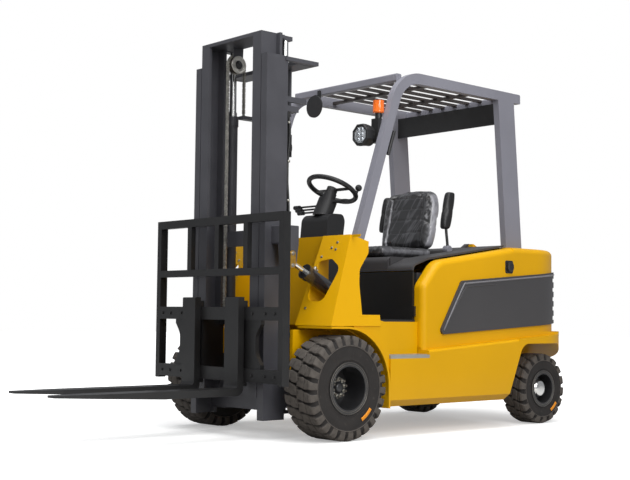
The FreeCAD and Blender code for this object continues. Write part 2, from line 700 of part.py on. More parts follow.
def front_cowl():
    piece = Piece("front_cowl")
    top = S.cowl_top_z
    foot_line = (S.cowl_foot_y, S.cowl_foot_z)
    head_line = (S.cowl_top_y, top)
    for word, side in SIDES:
        def span(a, b):
            return sorted((sized(a) * side, sized(b) * side), key=lambda size: size.value)
        # the leaning front wall of the wing
        low, high = span(S.cowl_in, S.cowl_foot_half)
        piece.pad("side", low, high, [
            foot_line, (S.cowl_foot_y + S.plate, S.cowl_foot_z),
            (S.cowl_top_y + S.plate, top), head_line])
        # the outer wall, leaning inwards as it rises
        piece.pad("front", S.cowl_foot_y, S.cowl_top_y + 170, flip([
            (S.cowl_foot_half - S.plate, S.cowl_foot_z), (S.cowl_foot_half, S.cowl_foot_z),
            (S.cowl_top_half, top), (S.cowl_top_half - S.plate, top)], side))
        # the inner wall beside the mast
        low, high = span(S.cowl_in, S.cowl_in + S.plate)
        piece.pad("side", low, high, box_outline(
            S.cowl_foot_y, S.cowl_foot_z, S.firewall, top))
        # the top
        low, high = span(S.cowl_in, S.cowl_top_half)
        piece.pad("side", low, high, box_outline(
            S.cowl_top_y, top - S.plate, S.cowl_top_y + 170, top))
        # arch plate over the wheel
        low, high = span(S.rail_out, S.skirt_half)
        arch_high = S.front_tyre_rad + S.arch_rad
        piece.pad("side", low, high, [
            (S.cowl_foot_y, arch_high), (S.arch_rad, arch_high, S.arch_rad),
            (S.arch_rad, S.skirt_low - 6), (S.skirt_front, S.skirt_low - 6),
            (S.skirt_front, arch_high + S.plate, S.skirt_front),
            (S.cowl_foot_y, arch_high + S.plate)])
        # the filler between the arch and the floor's edge
        low, high = span(S.sill_half, S.skirt_half - 12)
        piece.pad("side", low, high, [
            (60, arch_high - 40), (S.skirt_front, S.step_low - 60),
            (S.skirt_front, S.floor_top - 20, 60), (S.cowl_top_y + 60, S.floor_top + 20, 30),
            (60, S.floor_top + 20)])
        piece.pocket("side", low - 1, high + 1, (0, S.front_tyre_rad, S.arch_rad + 6))
        # trim the outside of the wing
        piece.pocket("front", S.cowl_foot_y - 5, S.cowl_top_y + 5, flip([
            (S.cowl_foot_half, S.cowl_foot_z), (S.cowl_foot_half + 60, S.cowl_foot_z),
            (S.cowl_foot_half + 60, top + 20), (S.cowl_top_half, top + 20),
            (S.cowl_top_half, top)], side))
        low, high = span(S.cowl_in - 5, S.skirt_half + 20)
        piece.pocket("side", low, high, [
            (S.cowl_foot_y - 60, S.cowl_foot_z), foot_line, head_line,
            (S.cowl_top_y, top + 40), (S.cowl_foot_y - 60, top + 40)])
        # the concave rear edge of the outer wall and the sloping top
        piece.pocket("side", low, high, [
            (S.cowl_top_y + 32, S.floor_top + 26), (S.cowl_top_y + 200, S.floor_top + 26),
            (S.cowl_top_y + 200, top - 34), (S.cowl_top_y + 136, top - 34, 6),
            (S.cowl_top_y + 126, top - 100, 30), (S.cowl_top_y + 44, top - 196, 60),
            (S.cowl_top_y + 32, top - 280, 60)])
        piece.pocket("side", low, high, [
            (S.cowl_top_y, top), (S.cowl_top_y + 200, top - 50),
            (S.cowl_top_y + 200, top + 40), (S.cowl_top_y, top + 40)])
        # slot for the tilt cylinder
        piece.pocket("front", S.cowl_foot_y, S.cowl_top_y + 14, flip([
            (S.tilt_x - 48, S.tilt_pin_z - 226, 50), (S.tilt_x + 92, S.tilt_pin_z - 226, 50),
            (S.tilt_x + 150, S.tilt_pin_z - 40, 44), (S.tilt_x + 60, S.tilt_pin_z + 14, 44),
            (S.tilt_x - 48, S.tilt_pin_z, 30)], side))
    # the wall behind the mast
    piece.pad("front", S.firewall, S.firewall + S.plate,
              box_outline(-S.cowl_in - S.plate, S.cowl_foot_z, S.cowl_in + S.plate, top))
    piece.done()


def floor_and_steps():
    floor = Piece("floor_plate")
    floor.pad("top", S.floor_top - S.plate, S.floor_top,
              box_outline(-S.floor_half, S.skirt_front, S.floor_half, S.floor_rear))
    floor.pad("top", S.floor_top - S.plate, S.floor_top, box_outline(
        -S.rail_in, S.firewall + S.plate, S.rail_in, S.skirt_front))
    floor.pad("side", -S.rail_in, S.rail_in, [
        (S.firewall + S.plate, S.floor_top), (S.firewall + 130, S.floor_top),
        (S.firewall + S.plate, S.floor_top + 130)])
    floor.done()
    steps = Piece("steps")
    for word, side in SIDES:
        low, high = sorted((S.sill_half * side, S.skirt_half * side), key=lambda size: size.value)
        steps.pad("top", S.step_low, S.step_low + S.step_thick,
                  box_outline(low, S.skirt_front, high, S.step_rear))
    steps.done()


def battery_and_covers():
    battery = block("battery", -S.battery_half, S.battery_half, S.battery_front, S.battery_rear,
                    S.skirt_low + S.plate, S.battery_top)
    finish(battery, "battery", -S.battery_half, S.battery_front, S.skirt_low + S.plate)
    cover = [(S.step_rear, S.ledge_front_z), (S.bay_rear, ledge_z(S.bay_rear)),
             (S.bay_rear, S.cover_rear_z), (S.cover_shoulder_y, S.cover_shoulder_z, 150),
             (S.cover_front, S.cover_knee_z, 60), (S.cover_front, S.ledge_front_z + 20)]
    for word, side in SIDES:
        piece = Piece(f"side_cover_{word}")
        low, high = sorted((S.skirt_in * side, S.cover_half * side), key=lambda size: size.value)
        piece.pad("side", low, high, cover)
        outer = S.cover_half.value
        piece.fillet(S.cover_round, lambda e: near(abs(e.BoundBox.XMin), outer) and
                     near(abs(e.BoundBox.XMax), outer) and
                     e.BoundBox.ZMax > S.ledge_front_z.value + 100 and
                     e.BoundBox.YMin < S.bay_rear.value - 1 and
                     e.BoundBox.ZMin > S.ledge_front_z.value + 10)
        piece.done()
    front = Piece("front_panel")
    front.pad("front", S.floor_rear + 6, S.floor_rear + 6 + S.plate,
              box_outline(-S.skirt_in, S.floor_top - S.plate, S.skirt_in,
                          S.hood_low - S.hood_gap))
    front.pad("front", S.floor_rear + 6, S.cover_front - S.seat_gap,
              box_outline(S.skirt_in - 20, S.floor_top + 20, S.skirt_in + 12, S.floor_top + 80),
              box_outline(-S.skirt_in - 12, S.floor_top + 20, -S.skirt_in + 20,
                          S.floor_top + 80))
    front.done()


def body_plan(outset, front, corner):
    """The upper body seen from above, from a line across it to its rounded rear end."""
    return [(-S.weight_half - outset, front), (S.weight_half + outset, front),
            (S.weight_half + outset, S.rear_end + outset, corner + outset),
            (-S.weight_half - outset, S.rear_end + outset, corner + outset)]


def side_panels():
    """The dark panels bent round the rear corners: a skin round the body, cut to the outline."""
    panels = Piece("side_panels")
    front, low, high = S.cover_shoulder_y - 8, S.ledge_front_z + 89, S.cover_knee_z + 126
    rear = S.rear_end - S.panel_end
    panels.pad("top", low - 20, high + 20, body_plan(S.panel_proud, front - 20, S.weight_corner),
               body_plan(sized(0), front - 10, S.weight_corner))
    outline = [(front, low, 24), (rear, ledge_z(rear) + 66), (rear, high - 2, 60),
               (front + 203, high - 91, 26)]
    frame = box_outline(front - 60, low - 60, S.rear_end + 60, high + 60)
    panels.pocket("side", -BIG, BIG, frame, outline)
    for number in range(int(S.vent_count.value)):
        z = low + 92 + S.vent_pitch * number
        panels.pocket("front", rear - 128, S.rear_end, box_outline(
            -S.weight_half - S.panel_proud - 5, z, -S.weight_half + S.weight_corner * 0.45,
            z + S.vent_tall), box_outline(
            S.weight_half - S.weight_corner * 0.45, z, S.weight_half + S.panel_proud + 5,
            z + S.vent_tall))
    panels.done()


def counterweight():
    piece = Piece("counterweight")
    skirt = [(-S.skirt_half, S.bay_rear), (S.skirt_half, S.bay_rear),
             (S.skirt_half, S.rear_end, S.ledge_corner),
             (-S.skirt_half, S.rear_end, S.ledge_corner)]
    piece.pad("top", ledge_z(S.bay_rear), S.weight_top,
              body_plan(sized(0), S.bay_rear, S.weight_corner))
    top = S.weight_top.value
    piece.fillet(S.cover_round, lambda e: near(e.BoundBox.ZMin, top) and
                 near(e.BoundBox.ZMax, top) and e.BoundBox.YMax > S.bay_rear.value + 1)
    piece.pad("top", S.weight_low, S.ledge_rear_z, skirt)
    # the sloping ledge
    piece.pocket("side", S.weight_half, S.skirt_half + 5, [
        (S.bay_rear, ledge_z(S.bay_rear)), (S.rear_end + 10, ledge_z(S.rear_end + 10)),
        (S.rear_end + 10, S.ledge_rear_z + 20), (S.bay_rear, S.ledge_rear_z + 20)])
    piece.pocket("side", -S.skirt_half - 5, -S.weight_half, [
        (S.bay_rear, ledge_z(S.bay_rear)), (S.rear_end + 10, ledge_z(S.rear_end + 10)),
        (S.rear_end + 10, S.ledge_rear_z + 20), (S.bay_rear, S.ledge_rear_z + 20)])
    # wheel wells, and the room for the steer axle between them
    for word, side in SIDES:
        low, high = sorted((S.well_in * side, (S.skirt_half + 5) * side),
                           key=lambda size: size.value)
        piece.pocket("side", low, high, rear_arch)
    piece.pocket("side", -S.well_in - 1, S.well_in + 1, box_outline(
        S.bay_rear - 5, S.weight_low - 5, S.wheelbase + 110, S.rear_tyre_rad + S.king_top))
    for hand in (1, -1):
        low, high = sorted((sized(220) * hand, sized(250) * hand), key=lambda size: size.value)
        piece.pad("side", low, high, [
            (S.hinge_y, S.weight_top - 2), (S.hinge_y + 60, S.weight_top - 2),
            (S.hinge_y + 60, S.weight_top + 8), (S.hinge_y + 8, S.hinge_z + 10),
            (S.hinge_y - 8, S.hinge_z + 10), (S.hinge_y - 8, S.weight_top + 4)])
        low, high = sorted((sized(180) * hand, sized(250) * hand), key=lambda size: size.value)
        piece.pad("side", low, high, (S.hinge_y, S.hinge_z, S.hinge_rad))
    # towing jaw, the recess above it and the bore for its pin through both
    piece.pocket("front", S.rear_end - 90, S.rear_end + 5, box_outline(
        -S.jaw_half, S.jaw_low, S.jaw_half, S.jaw_high))
    piece.pocket("front", S.rear_end - 90, S.rear_end + 5, box_outline(
        -S.jaw_half, S.jaw_high + S.jaw_wall, S.jaw_half, S.jaw_high + S.jaw_wall + 190, 20))
    piece.pocket("top", S.weight_low - 5, S.jaw_high + S.jaw_wall,
                 (0, S.rear_end - S.tow_setback, S.tow_rad))
    piece.done()


def overhead_guard():
    guard = Piece("overhead_guard")
    inner_head = S.post_head_y + S.post_deep - post_lean * S.roof_deep
    rail_low = S.guard_top - S.roof_deep
    frame = [(S.post_foot_y, S.post_foot_z), (S.post_foot_y + S.post_deep, S.post_foot_z),
             (inner_head, rail_low, S.post_bend - 70),
             (S.roof_rear, rail_low), (S.roof_rear, S.guard_top - 6, 12),
             (S.post_head_y, S.guard_top, S.post_bend)]
    leg = [(S.leg_foot_front, S.weight_top), (S.leg_foot_rear, S.weight_top),
           (S.leg_head_rear, rail_low + 20), (S.leg_head_front, rail_low + 20)]
    for word, side in SIDES:
        low, high = sorted(((S.guard_half - S.guard_wide) * side, S.guard_half * side),
                           key=lambda size: size.value)
        guard.pad("side", low, high, frame)
        guard.pad("side", low, high, leg)
    inside = S.guard_half - S.guard_wide
    front_y = S.post_head_y + 10
    guard.pad("side", -inside, inside, box_outline(
        front_y, S.guard_top - 60, front_y + 46, S.guard_top - 14, 8))
    guard.pad("side", -inside, inside, box_outline(
        S.roof_rear - 70, rail_low, S.roof_rear - 10, S.guard_top - 12, 8))
    guard.done()
    roof = Piece("guard_roof")
    pitch = (inside * 2 - S.slat_wide) / (S.slat_count + 1)
    for number in range(int(S.slat_count.value)):
        left = -inside + pitch * (number + 1)
        roof.pad("top", S.guard_top - 14 - S.slat_thick, S.guard_top - 14, box_outline(
            left, front_y + 46, left + S.slat_wide, S.roof_rear - 70))
    for share in (0.3, 0.65):
        y = front_y + (S.roof_rear - front_y) * share
        roof.pad("top", S.guard_top - 30 - S.slat_thick, S.guard_top - 14 - S.slat_thick,
                 box_outline(-inside, y, inside, y + 30))
    roof.done()
    board = Piece("guard_rear_panel")
    board.pad("front", S.leg_head_front + 70, S.leg_head_front + 82, box_outline(
        -inside, S.board_low, inside, rail_low - 4))
    board.done()


def operator_station():
    dash = Piece("dash")
    dash.pad("side", -S.dash_half, S.dash_half, [
        (S.firewall + S.plate + 140, S.floor_top), (S.firewall + S.plate + 250, S.floor_top),
        (S.wheel_y - 4, S.dash_top - 40, 45), (S.wheel_y - 20, S.dash_top, 30),
        (S.wheel_y - 140, S.dash_top, 55)])
    dash.done()
    lean = S.wheel_lean

    def on_axis(distance):
        return (S.wheel_y + sine(lean) * distance, S.wheel_z + cosine(lean) * distance)
    foot_y, foot_z = on_axis(-S.column_long)
    hub_drop = sized(30)
    column = leaning_rod("column_tube", 0, foot_y, foot_z, lean, 38,
                         S.column_long - hub_drop - S.seat_gap)
    body = leaning_rod("column_shroud", 0, foot_y, foot_z, lean, 58, S.column_long - 84)
    head_y, head_z = on_axis(-96)
    stalk = rod("column_stalk", "x", 30, head_y, head_z, 9, 112)
    paddle = block("column_paddle", 140, 176, head_y - 14, head_y + 14, head_z - 12, head_z + 12)
    column = cut("column_cut", join("column_all", [column, body, stalk, paddle]),
                 block("column_trim", -300, 300, 0, 900, 800, S.dash_top))
    finish(column, "steering_column")
    base_y, base_z = on_axis(-hub_drop)
    hub = leaning_rod("wheel_hub", 0, base_y, base_z, lean, 34, 34)
    ring = doc.addObject("Part::Torus", "wheel_ring")
    bind(ring, "Radius1", S.wheel_ring)
    bind(ring, "Radius2", S.wheel_grip)
    ring.Placement.Rotation = FreeCAD.Rotation(FreeCAD.Vector(-1, 0, 0), lean.value)
    bind(ring, "Placement.Rotation.Angle", lean)
    put(ring, 0, S.wheel_y, S.wheel_z)
    spoke = block("spoke_across", -S.wheel_ring, S.wheel_ring, 0, 22, 0, 8)
    spoke.Placement.Rotation = FreeCAD.Rotation(FreeCAD.Vector(-1, 0, 0), lean.value)
    put(spoke, -S.wheel_ring, S.wheel_y - 11, S.wheel_z - 6)
    knob_y, knob_z = on_axis(0)
    across, down = S.wheel_ring * cosine(lean) * 0.66, S.wheel_ring * sine(lean) * 0.66
    stem = leaning_rod("knob_stem", S.wheel_ring * 0.74, knob_y + across, knob_z - down, lean,
                       7, 44)
    ball = doc.addObject("Part::Sphere", "knob_ball")
    bind(ball, "Radius", S.knob_rad)
    put(ball, S.wheel_ring * 0.74, knob_y + across + sine(lean) * 58,
        knob_z - down + cosine(lean) * 58)
    wheel = join("steering_wheel_all", [hub, ring, spoke, stem, ball])
    finish(wheel, "steering_wheel")
    levers = []
    for number in range(3):
        lever_y, lever_z = on_axis(-158 + 22 * number)
        levers.append(rod(f"lever_stem_{number}", "x", -190 - 30 * number, lever_y, lever_z, 6,
                          150 + 30 * number))
        levers.append(rod(f"lever_knob_{number}", "x", -236 - 30 * number, lever_y, lever_z, 13,
                          50))
    lever_set = cut("levers_cut", join("lever_set", levers),
                    leaning_rod("levers_trim", 0, foot_y, foot_z, lean, 58 + 0.3, 200))
    finish(lever_set, "control_levers")
    pads = [block(f"pedal_{x}", x, x + wide, 200, 212, S.floor_top + 52, S.floor_top + 130)
            for x, wide in ((-205, 70), (-290, 52))]
    stems = [block(f"pedal_arm_{x}", x, x + 14, 180, 205, S.floor_top + 66, S.floor_top + 82)
             for x in (-178, -272)]
    finish(join("pedal_set", pads + stems), "pedals")


def lamps():
    boxes, turns, tails = [], [], []
    inside = S.guard_half - S.guard_wide
    for word, side in SIDES:
        def span(a, b):
            return sorted((sized(a) * side, sized(b) * side), key=lambda size: size.value)
        x = span(inside - S.lamp_wide, inside)
        rear = S.lamp_y + S.lamp_deep + 76
        boxes.append(block(f"lamp_box_{word}", x[0], x[1], S.lamp_y + S.lamp_deep, rear,
                           S.lamp_z - 46, S.lamp_z + 98))
        centre = (inside - S.lamp_wide - 25) * side
        boxes.append(rod(f"lamp_drum_{word}", "y", centre, S.lamp_y, S.lamp_z, S.lamp_rad,
                         S.lamp_deep + 8))
        turn_x = (inside - S.turn_rad - S.seat_gap) * side
        boxes.append(rod(f"turn_foot_{word}", "z", turn_x, rear - 40, S.lamp_z + 98, 20, 36))
        turns.append(rod(f"turn_lamp_{word}", "z", turn_x, rear - 40, S.lamp_z + 134,
                         S.turn_rad, S.turn_tall))
        tail = span(inside - 150, inside - 40)
        tails.append(block(f"tail_lamp_{word}", tail[0], tail[1], S.leg_head_front + 82,
                           S.leg_head_front + 110, S.board_low + 26, S.board_low + 108))
    finish(join("headlamp_set", boxes), "headlamps")
    finish(join("turn_lamp_set", turns), "turn_lamps")
    finish(join("tail_lamp_set", tails), "tail_lamps")
    lean = Size(math.degrees(math.atan(post_lean.value)), f"atan({post_lean.formula})")
    bar_x = S.guard_half - S.guard_wide / 2
    grip = [leaning_rod("handle_bar", bar_x, post_rear(S.handle_z) + 34, S.handle_z, lean, 11,
                        S.handle_long)]
    for rise in (18, S.handle_long - 36):
        z = S.handle_z + rise
        grip.append(block(f"handle_arm_{sized(rise).value:.0f}", bar_x - 8, bar_x + 8,
                          post_rear(z + 14), post_rear(z + 14) + 34, z, z + 14))
    handle = join("handle_all", grip)
    finish(handle, "grab_handle")
    front_y = S.post_head_y + 10
    mirror = join("mirror_all", [
        rod("mirror_disc", "y", S.mirror_x, front_y - 52, S.mirror_z, S.mirror_rad, 12),
        block("mirror_arm", S.mirror_x - 10, S.mirror_x + 10, front_y - 44, front_y,
              S.mirror_z + 60, S.mirror_z + 74),
        block("mirror_foot", S.mirror_x - 10, S.mirror_x + 10, front_y - 14, front_y,
              S.mirror_z + 60, S.guard_top - 30)])
    finish(mirror, "mirror")


def axles():
    axle = [rod("axle_housing", "x", -S.axle_half, 0, S.front_tyre_rad, S.axle_rad,
                S.axle_half * 2),
            rod("axle_gear", "y", 0, -40, S.front_tyre_rad, 120, 180)]
    for word, side in SIDES:
        length = S.front_track_half - S.front_dish + 50 - S.axle_half
        start = S.axle_half if side > 0 else -S.axle_half - length
        axle.append(rod(f"axle_spindle_{word}", "x", start, 0, S.front_tyre_rad,
                        S.front_spindle_rad, length))
    finish(join("drive_axle_all", axle), "drive_axle")
    hub_z = S.rear_tyre_rad
    beam = Piece("steer_axle")
    beam.pad("top", hub_z - S.king_half + 24, hub_z + S.king_half - 24, [
        (-S.king_x + 60, S.wheelbase - 44, 10), (S.king_x - 60, S.wheelbase - 44, 10),
        (S.king_x - 60, S.wheelbase + 44, 10), (-S.king_x + 60, S.wheelbase + 44, 10)])
    for word, side in SIDES:
        low, high = sorted(((S.king_x - 90) * side, (S.king_x + 30) * side),
                           key=lambda size: size.value)
        for z in (hub_z - S.king_half, hub_z + S.king_half - 24):
            beam.pad("top", z, z + 24, [
                (low, S.wheelbase - 30, 24), (high, S.wheelbase - 30, 24),
                (high, S.wheelbase + 30, 24), (low, S.wheelbase + 30, 24)])
    beam.pad("top", hub_z + S.king_half - 24, hub_z + S.king_top, box_outline(
        -110, S.wheelbase - 60, 110, S.wheelbase + 60))
    for word, side in SIDES:
        beam.pocket("top", hub_z - S.king_half - 1, hub_z + S.king_half + 1,
                    (S.king_x * side, S.wheelbase, S.king_rad + S.seat_gap))
    beam.done()
    for word, side in SIDES:
        def span(a, b):
            return sorted((sized(a) * side, sized(b) * side), key=lambda size: size.value)
        knuckle = Piece(f"knuckle_{word}")
        knuckle.pad("top", hub_z - S.king_half, hub_z + S.king_half,
                    (S.king_x * side, S.wheelbase, S.king_rad))
        clear = S.king_half - 24 - S.seat_gap
        knuckle.pad("top", hub_z - clear, hub_z + clear, (S.king_x * side, S.wheelbase, 30))
        low, high = span(S.king_x, S.rear_track_half - S.rear_tyre_wide / 2 - 6)
        knuckle.pad("side", low, high, box_outline(
            S.wheelbase - 30, hub_z - 34, S.wheelbase + 30, hub_z + 34, 10))
        low, high = span(S.king_x + 20, S.rear_track_half - S.rear_dish + 50)
        knuckle.pad("side", low, high, (S.wheelbase, hub_z, S.rear_spindle_rad))
        knuckle.done()


def mast():
    outer = Piece("outer_mast")
    gap = S.run_gap
    for word, side in SIDES:
        reach = S.mast_half - S.mast_reach
        rail = [(reach, S.mast_front), (S.mast_half, S.mast_front), (S.mast_half, S.mast_rear),
                (reach, S.mast_rear), (reach, S.mast_rear - S.mast_flange),
                (S.mast_half - S.mast_web, S.mast_rear - S.mast_flange),
                (S.mast_half - S.mast_web, S.mast_front + S.mast_flange),
                (reach, S.mast_front + S.mast_flange)]
        outer.pad("top", S.mast_low, S.mast_top, flip(rail, side))
        def span(a, b):
            return sorted((sized(a) * side, sized(b) * side), key=lambda size: size.value)
        # top tie arm
        low, high = span(S.mast_half - 24, S.mast_half + 8)
        outer.pad("top", S.tie_low, S.tie_low + S.tie_thick, box_outline(
            low, S.mast_rear - S.mast_flange, high, S.tie_rear))
        # foot bracket round the drive axle
        low, high = span(S.mast_half - 28, S.mast_half)
        outer.pad("side", low, high, [
            (S.mast_rear, S.front_tyre_rad - 120), (S.axle_rad + 30, S.front_tyre_rad - 100, 60),
            (S.axle_rad + 30, S.front_tyre_rad + 100, 60),
            (S.mast_rear, S.front_tyre_rad + 180)])
        outer.pocket("side", low - 1, high + 1,
                     (0, S.front_tyre_rad, S.axle_rad + S.seat_gap))
        # shelf below the lift cylinder
        low, high = span(S.lift_x - 34, S.mast_half - 28)
        outer.pad("top", S.lift_tube_low - 16, S.lift_tube_low, box_outline(
            low, S.mast_rear, high, S.lift_y + 34))
        # clamp arm at the cylinder's head
        low, high = span(S.lift_x + S.lift_tube_rad + 4 + S.seat_gap, S.mast_half)
        outer.pad("top", S.lift_tube_top - 40, S.lift_tube_top - 8, box_outline(
            low, S.mast_rear - 4, high, S.lift_y + 30))
        low, high = span(S.mast_half - 24, S.mast_half)
        outer.pad("top", S.lift_tube_top + 14, S.lift_tube_top + 44, box_outline(
            low, S.mast_rear - 4, high, S.lift_y + 86))
        # bracket box and ears of the tilt cylinder
        low, high = span(S.mast_half, S.tilt_x + S.tilt_ear_in + S.plate)
        outer.pad("side", low, high, box_outline(
            S.tilt_pin_y - 56, S.tilt_pin_z + 86, S.mast_rear, S.tilt_pin_z + 186, 6))
        ear_out = S.tilt_ear_in + S.plate
        for a, b in ((-ear_out, -S.tilt_ear_in), (S.tilt_ear_in, ear_out)):
            low, high = span(S.tilt_x + a, S.tilt_x + b)
            outer.pad("side", low, high, [
                (S.tilt_pin_y - 50, S.tilt_pin_z + 90), (S.tilt_pin_y - 34, S.tilt_pin_z - 30, 26),
                (S.tilt_pin_y + 34, S.tilt_pin_z - 30, 26), (S.mast_rear, S.tilt_pin_z + 90)])
        low, high = span(S.tilt_x - ear_out, S.tilt_x + ear_out + 6)
        outer.pad("side", low, high, (S.tilt_pin_y, S.tilt_pin_z, S.tilt_pin_rad))
    inside = S.mast_half - S.mast_reach
    # cross ties at the rails' rear, and the top tie's rear bar with its hanging chain anchors
    for z_low, z_high in ((S.mast_low + 40, S.mast_low + 150),
                          (S.tilt_pin_z + 90, S.tilt_pin_z + 180)):
        outer.pad("front", S.mast_rear - S.mast_flange, S.mast_rear - 2,
                  box_outline(-S.mast_half + 4, z_low, S.mast_half - 4, z_high))
    outer.pad("top", S.tie_low, S.tie_low + S.tie_thick, box_outline(
        -S.mast_half + 30, S.tie_rear - S.tie_deep, S.mast_half - 30, S.tie_rear))
    strand = S.chain_y + S.pulley_rad + S.chain_thick / 2
    for word, side in SIDES:
        low, high = sorted(((S.chain_x - 24) * side, (S.chain_x + 24) * side),
                           key=lambda size: size.value)
        outer.pad("front", S.tie_rear - 54, S.tie_rear - 40, box_outline(
            low, S.tie_low - 260, high, S.tie_low))
        outer.pad("top", S.tie_low - 276, S.tie_low - 256, box_outline(
            low, strand - 20, high, S.tie_rear - 40))
    outer.done()

    tubes = Piece("lift_tubes")
    rods = Piece("lift_rods")
    for word, side in SIDES:
        x = S.lift_x * side
        tubes.pad("top", S.lift_tube_low, S.lift_tube_top - 60, (x, S.lift_y, S.lift_tube_rad))
        tubes.pad("top", S.lift_tube_top - 60, S.lift_tube_top,
                  (x, S.lift_y, S.lift_tube_rad + 4))
        tubes.pocket("top", S.lift_tube_low + 20, S.lift_tube_top + 1,
                     (x, S.lift_y, S.lift_rod_rad + S.seat_gap))
        rods.pad("top", S.lift_tube_low + 180, S.inner_top - S.ear_thick,
                 (x, S.lift_y, S.lift_rod_rad))
    tubes.done()
    rods.done()

    inner = Piece("inner_mast")
    web_out = S.mast_half - S.mast_reach - gap
    for word, side in SIDES:
        front = S.mast_front
        rear = S.mast_rear - S.mast_flange - gap
        rear_out = S.mast_half - S.mast_web - gap
        rail = [(S.inner_in, front), (web_out, front), (web_out, rear - S.mast_web),
                (rear_out, rear - S.mast_web), (rear_out, rear), (S.inner_in, rear),
                (S.inner_in, rear - S.mast_web), (web_out - S.mast_web, rear - S.mast_web),
                (web_out - S.mast_web, front + S.mast_web), (S.inner_in, front + S.mast_web)]
        inner.pad("top", S.inner_low, S.inner_top, flip(rail, side))
        def span(a, b):
            return sorted((sized(a) * side, sized(b) * side), key=lambda size: size.value)
        low, high = span(S.lift_x - 28, S.lift_x + 28)
        inner.pad("top", S.inner_top - S.ear_thick, S.inner_top, box_outline(
            low, rear - 2, high, S.lift_y + 34))
        low, high = span(S.chain_x - 24, S.chain_x - 14)
        inner.pad("side", low, high, [
            (S.chain_y - 34, S.inner_top - 10), (S.chain_y - 30, S.pulley_z - 24, 24),
            (S.chain_y + 30, S.pulley_z - 24, 24), (S.chain_y + 34, S.inner_top - 10)])
        low, high = span(S.chain_x - 24, S.chain_x + 14)
        inner.pad("side", low, high, (S.chain_y, S.pulley_z, 14))
    inner.pad("top", S.inner_top - 20, S.inner_top, box_outline(
        -web_out, S.mast_front, web_out, S.chain_y + 34))
    rear = S.mast_rear - S.mast_flange - gap
    inner.pad("front", rear - 14, rear, box_outline(
        -web_out, S.inner_low, web_out, S.inner_low + 90))
    inner.done()

    pulleys = Piece("chain_pulleys")
    for word, side in SIDES:
        low, high = sorted(((S.chain_x - 14 + 0.3) * side, (S.chain_x + 14) * side),
                           key=lambda size: size.value)
        pulleys.pad("side", low, high, (S.chain_y, S.pulley_z, S.pulley_rad - S.seat_gap))
        pulleys.pocket("side", low - 1, high + 1,
                       (S.chain_y, S.pulley_z, sized(14) + S.seat_gap))
    pulleys.done()

    fronts, rears = Piece("chains_front"), Piece("chains_rear")
    front_y = S.chain_y - S.pulley_rad - S.chain_thick / 2
    rear_y = S.chain_y + S.pulley_rad + S.chain_thick / 2
    for word, side in SIDES:
        low, high = sorted(((S.chain_x - S.chain_wide / 2) * side,
                            (S.chain_x + S.chain_wide / 2) * side),
                           key=lambda size: size.value)
        fronts.pad("top", S.carriage_high - 60, S.pulley_z, box_outline(
            low, front_y - S.chain_thick / 2, high, front_y + S.chain_thick / 2))
        rears.pad("top", S.tie_low - 256, S.pulley_z, box_outline(
            low, rear_y - S.chain_thick / 2, high, rear_y + S.chain_thick / 2))
    fronts.done()
    rears.done()


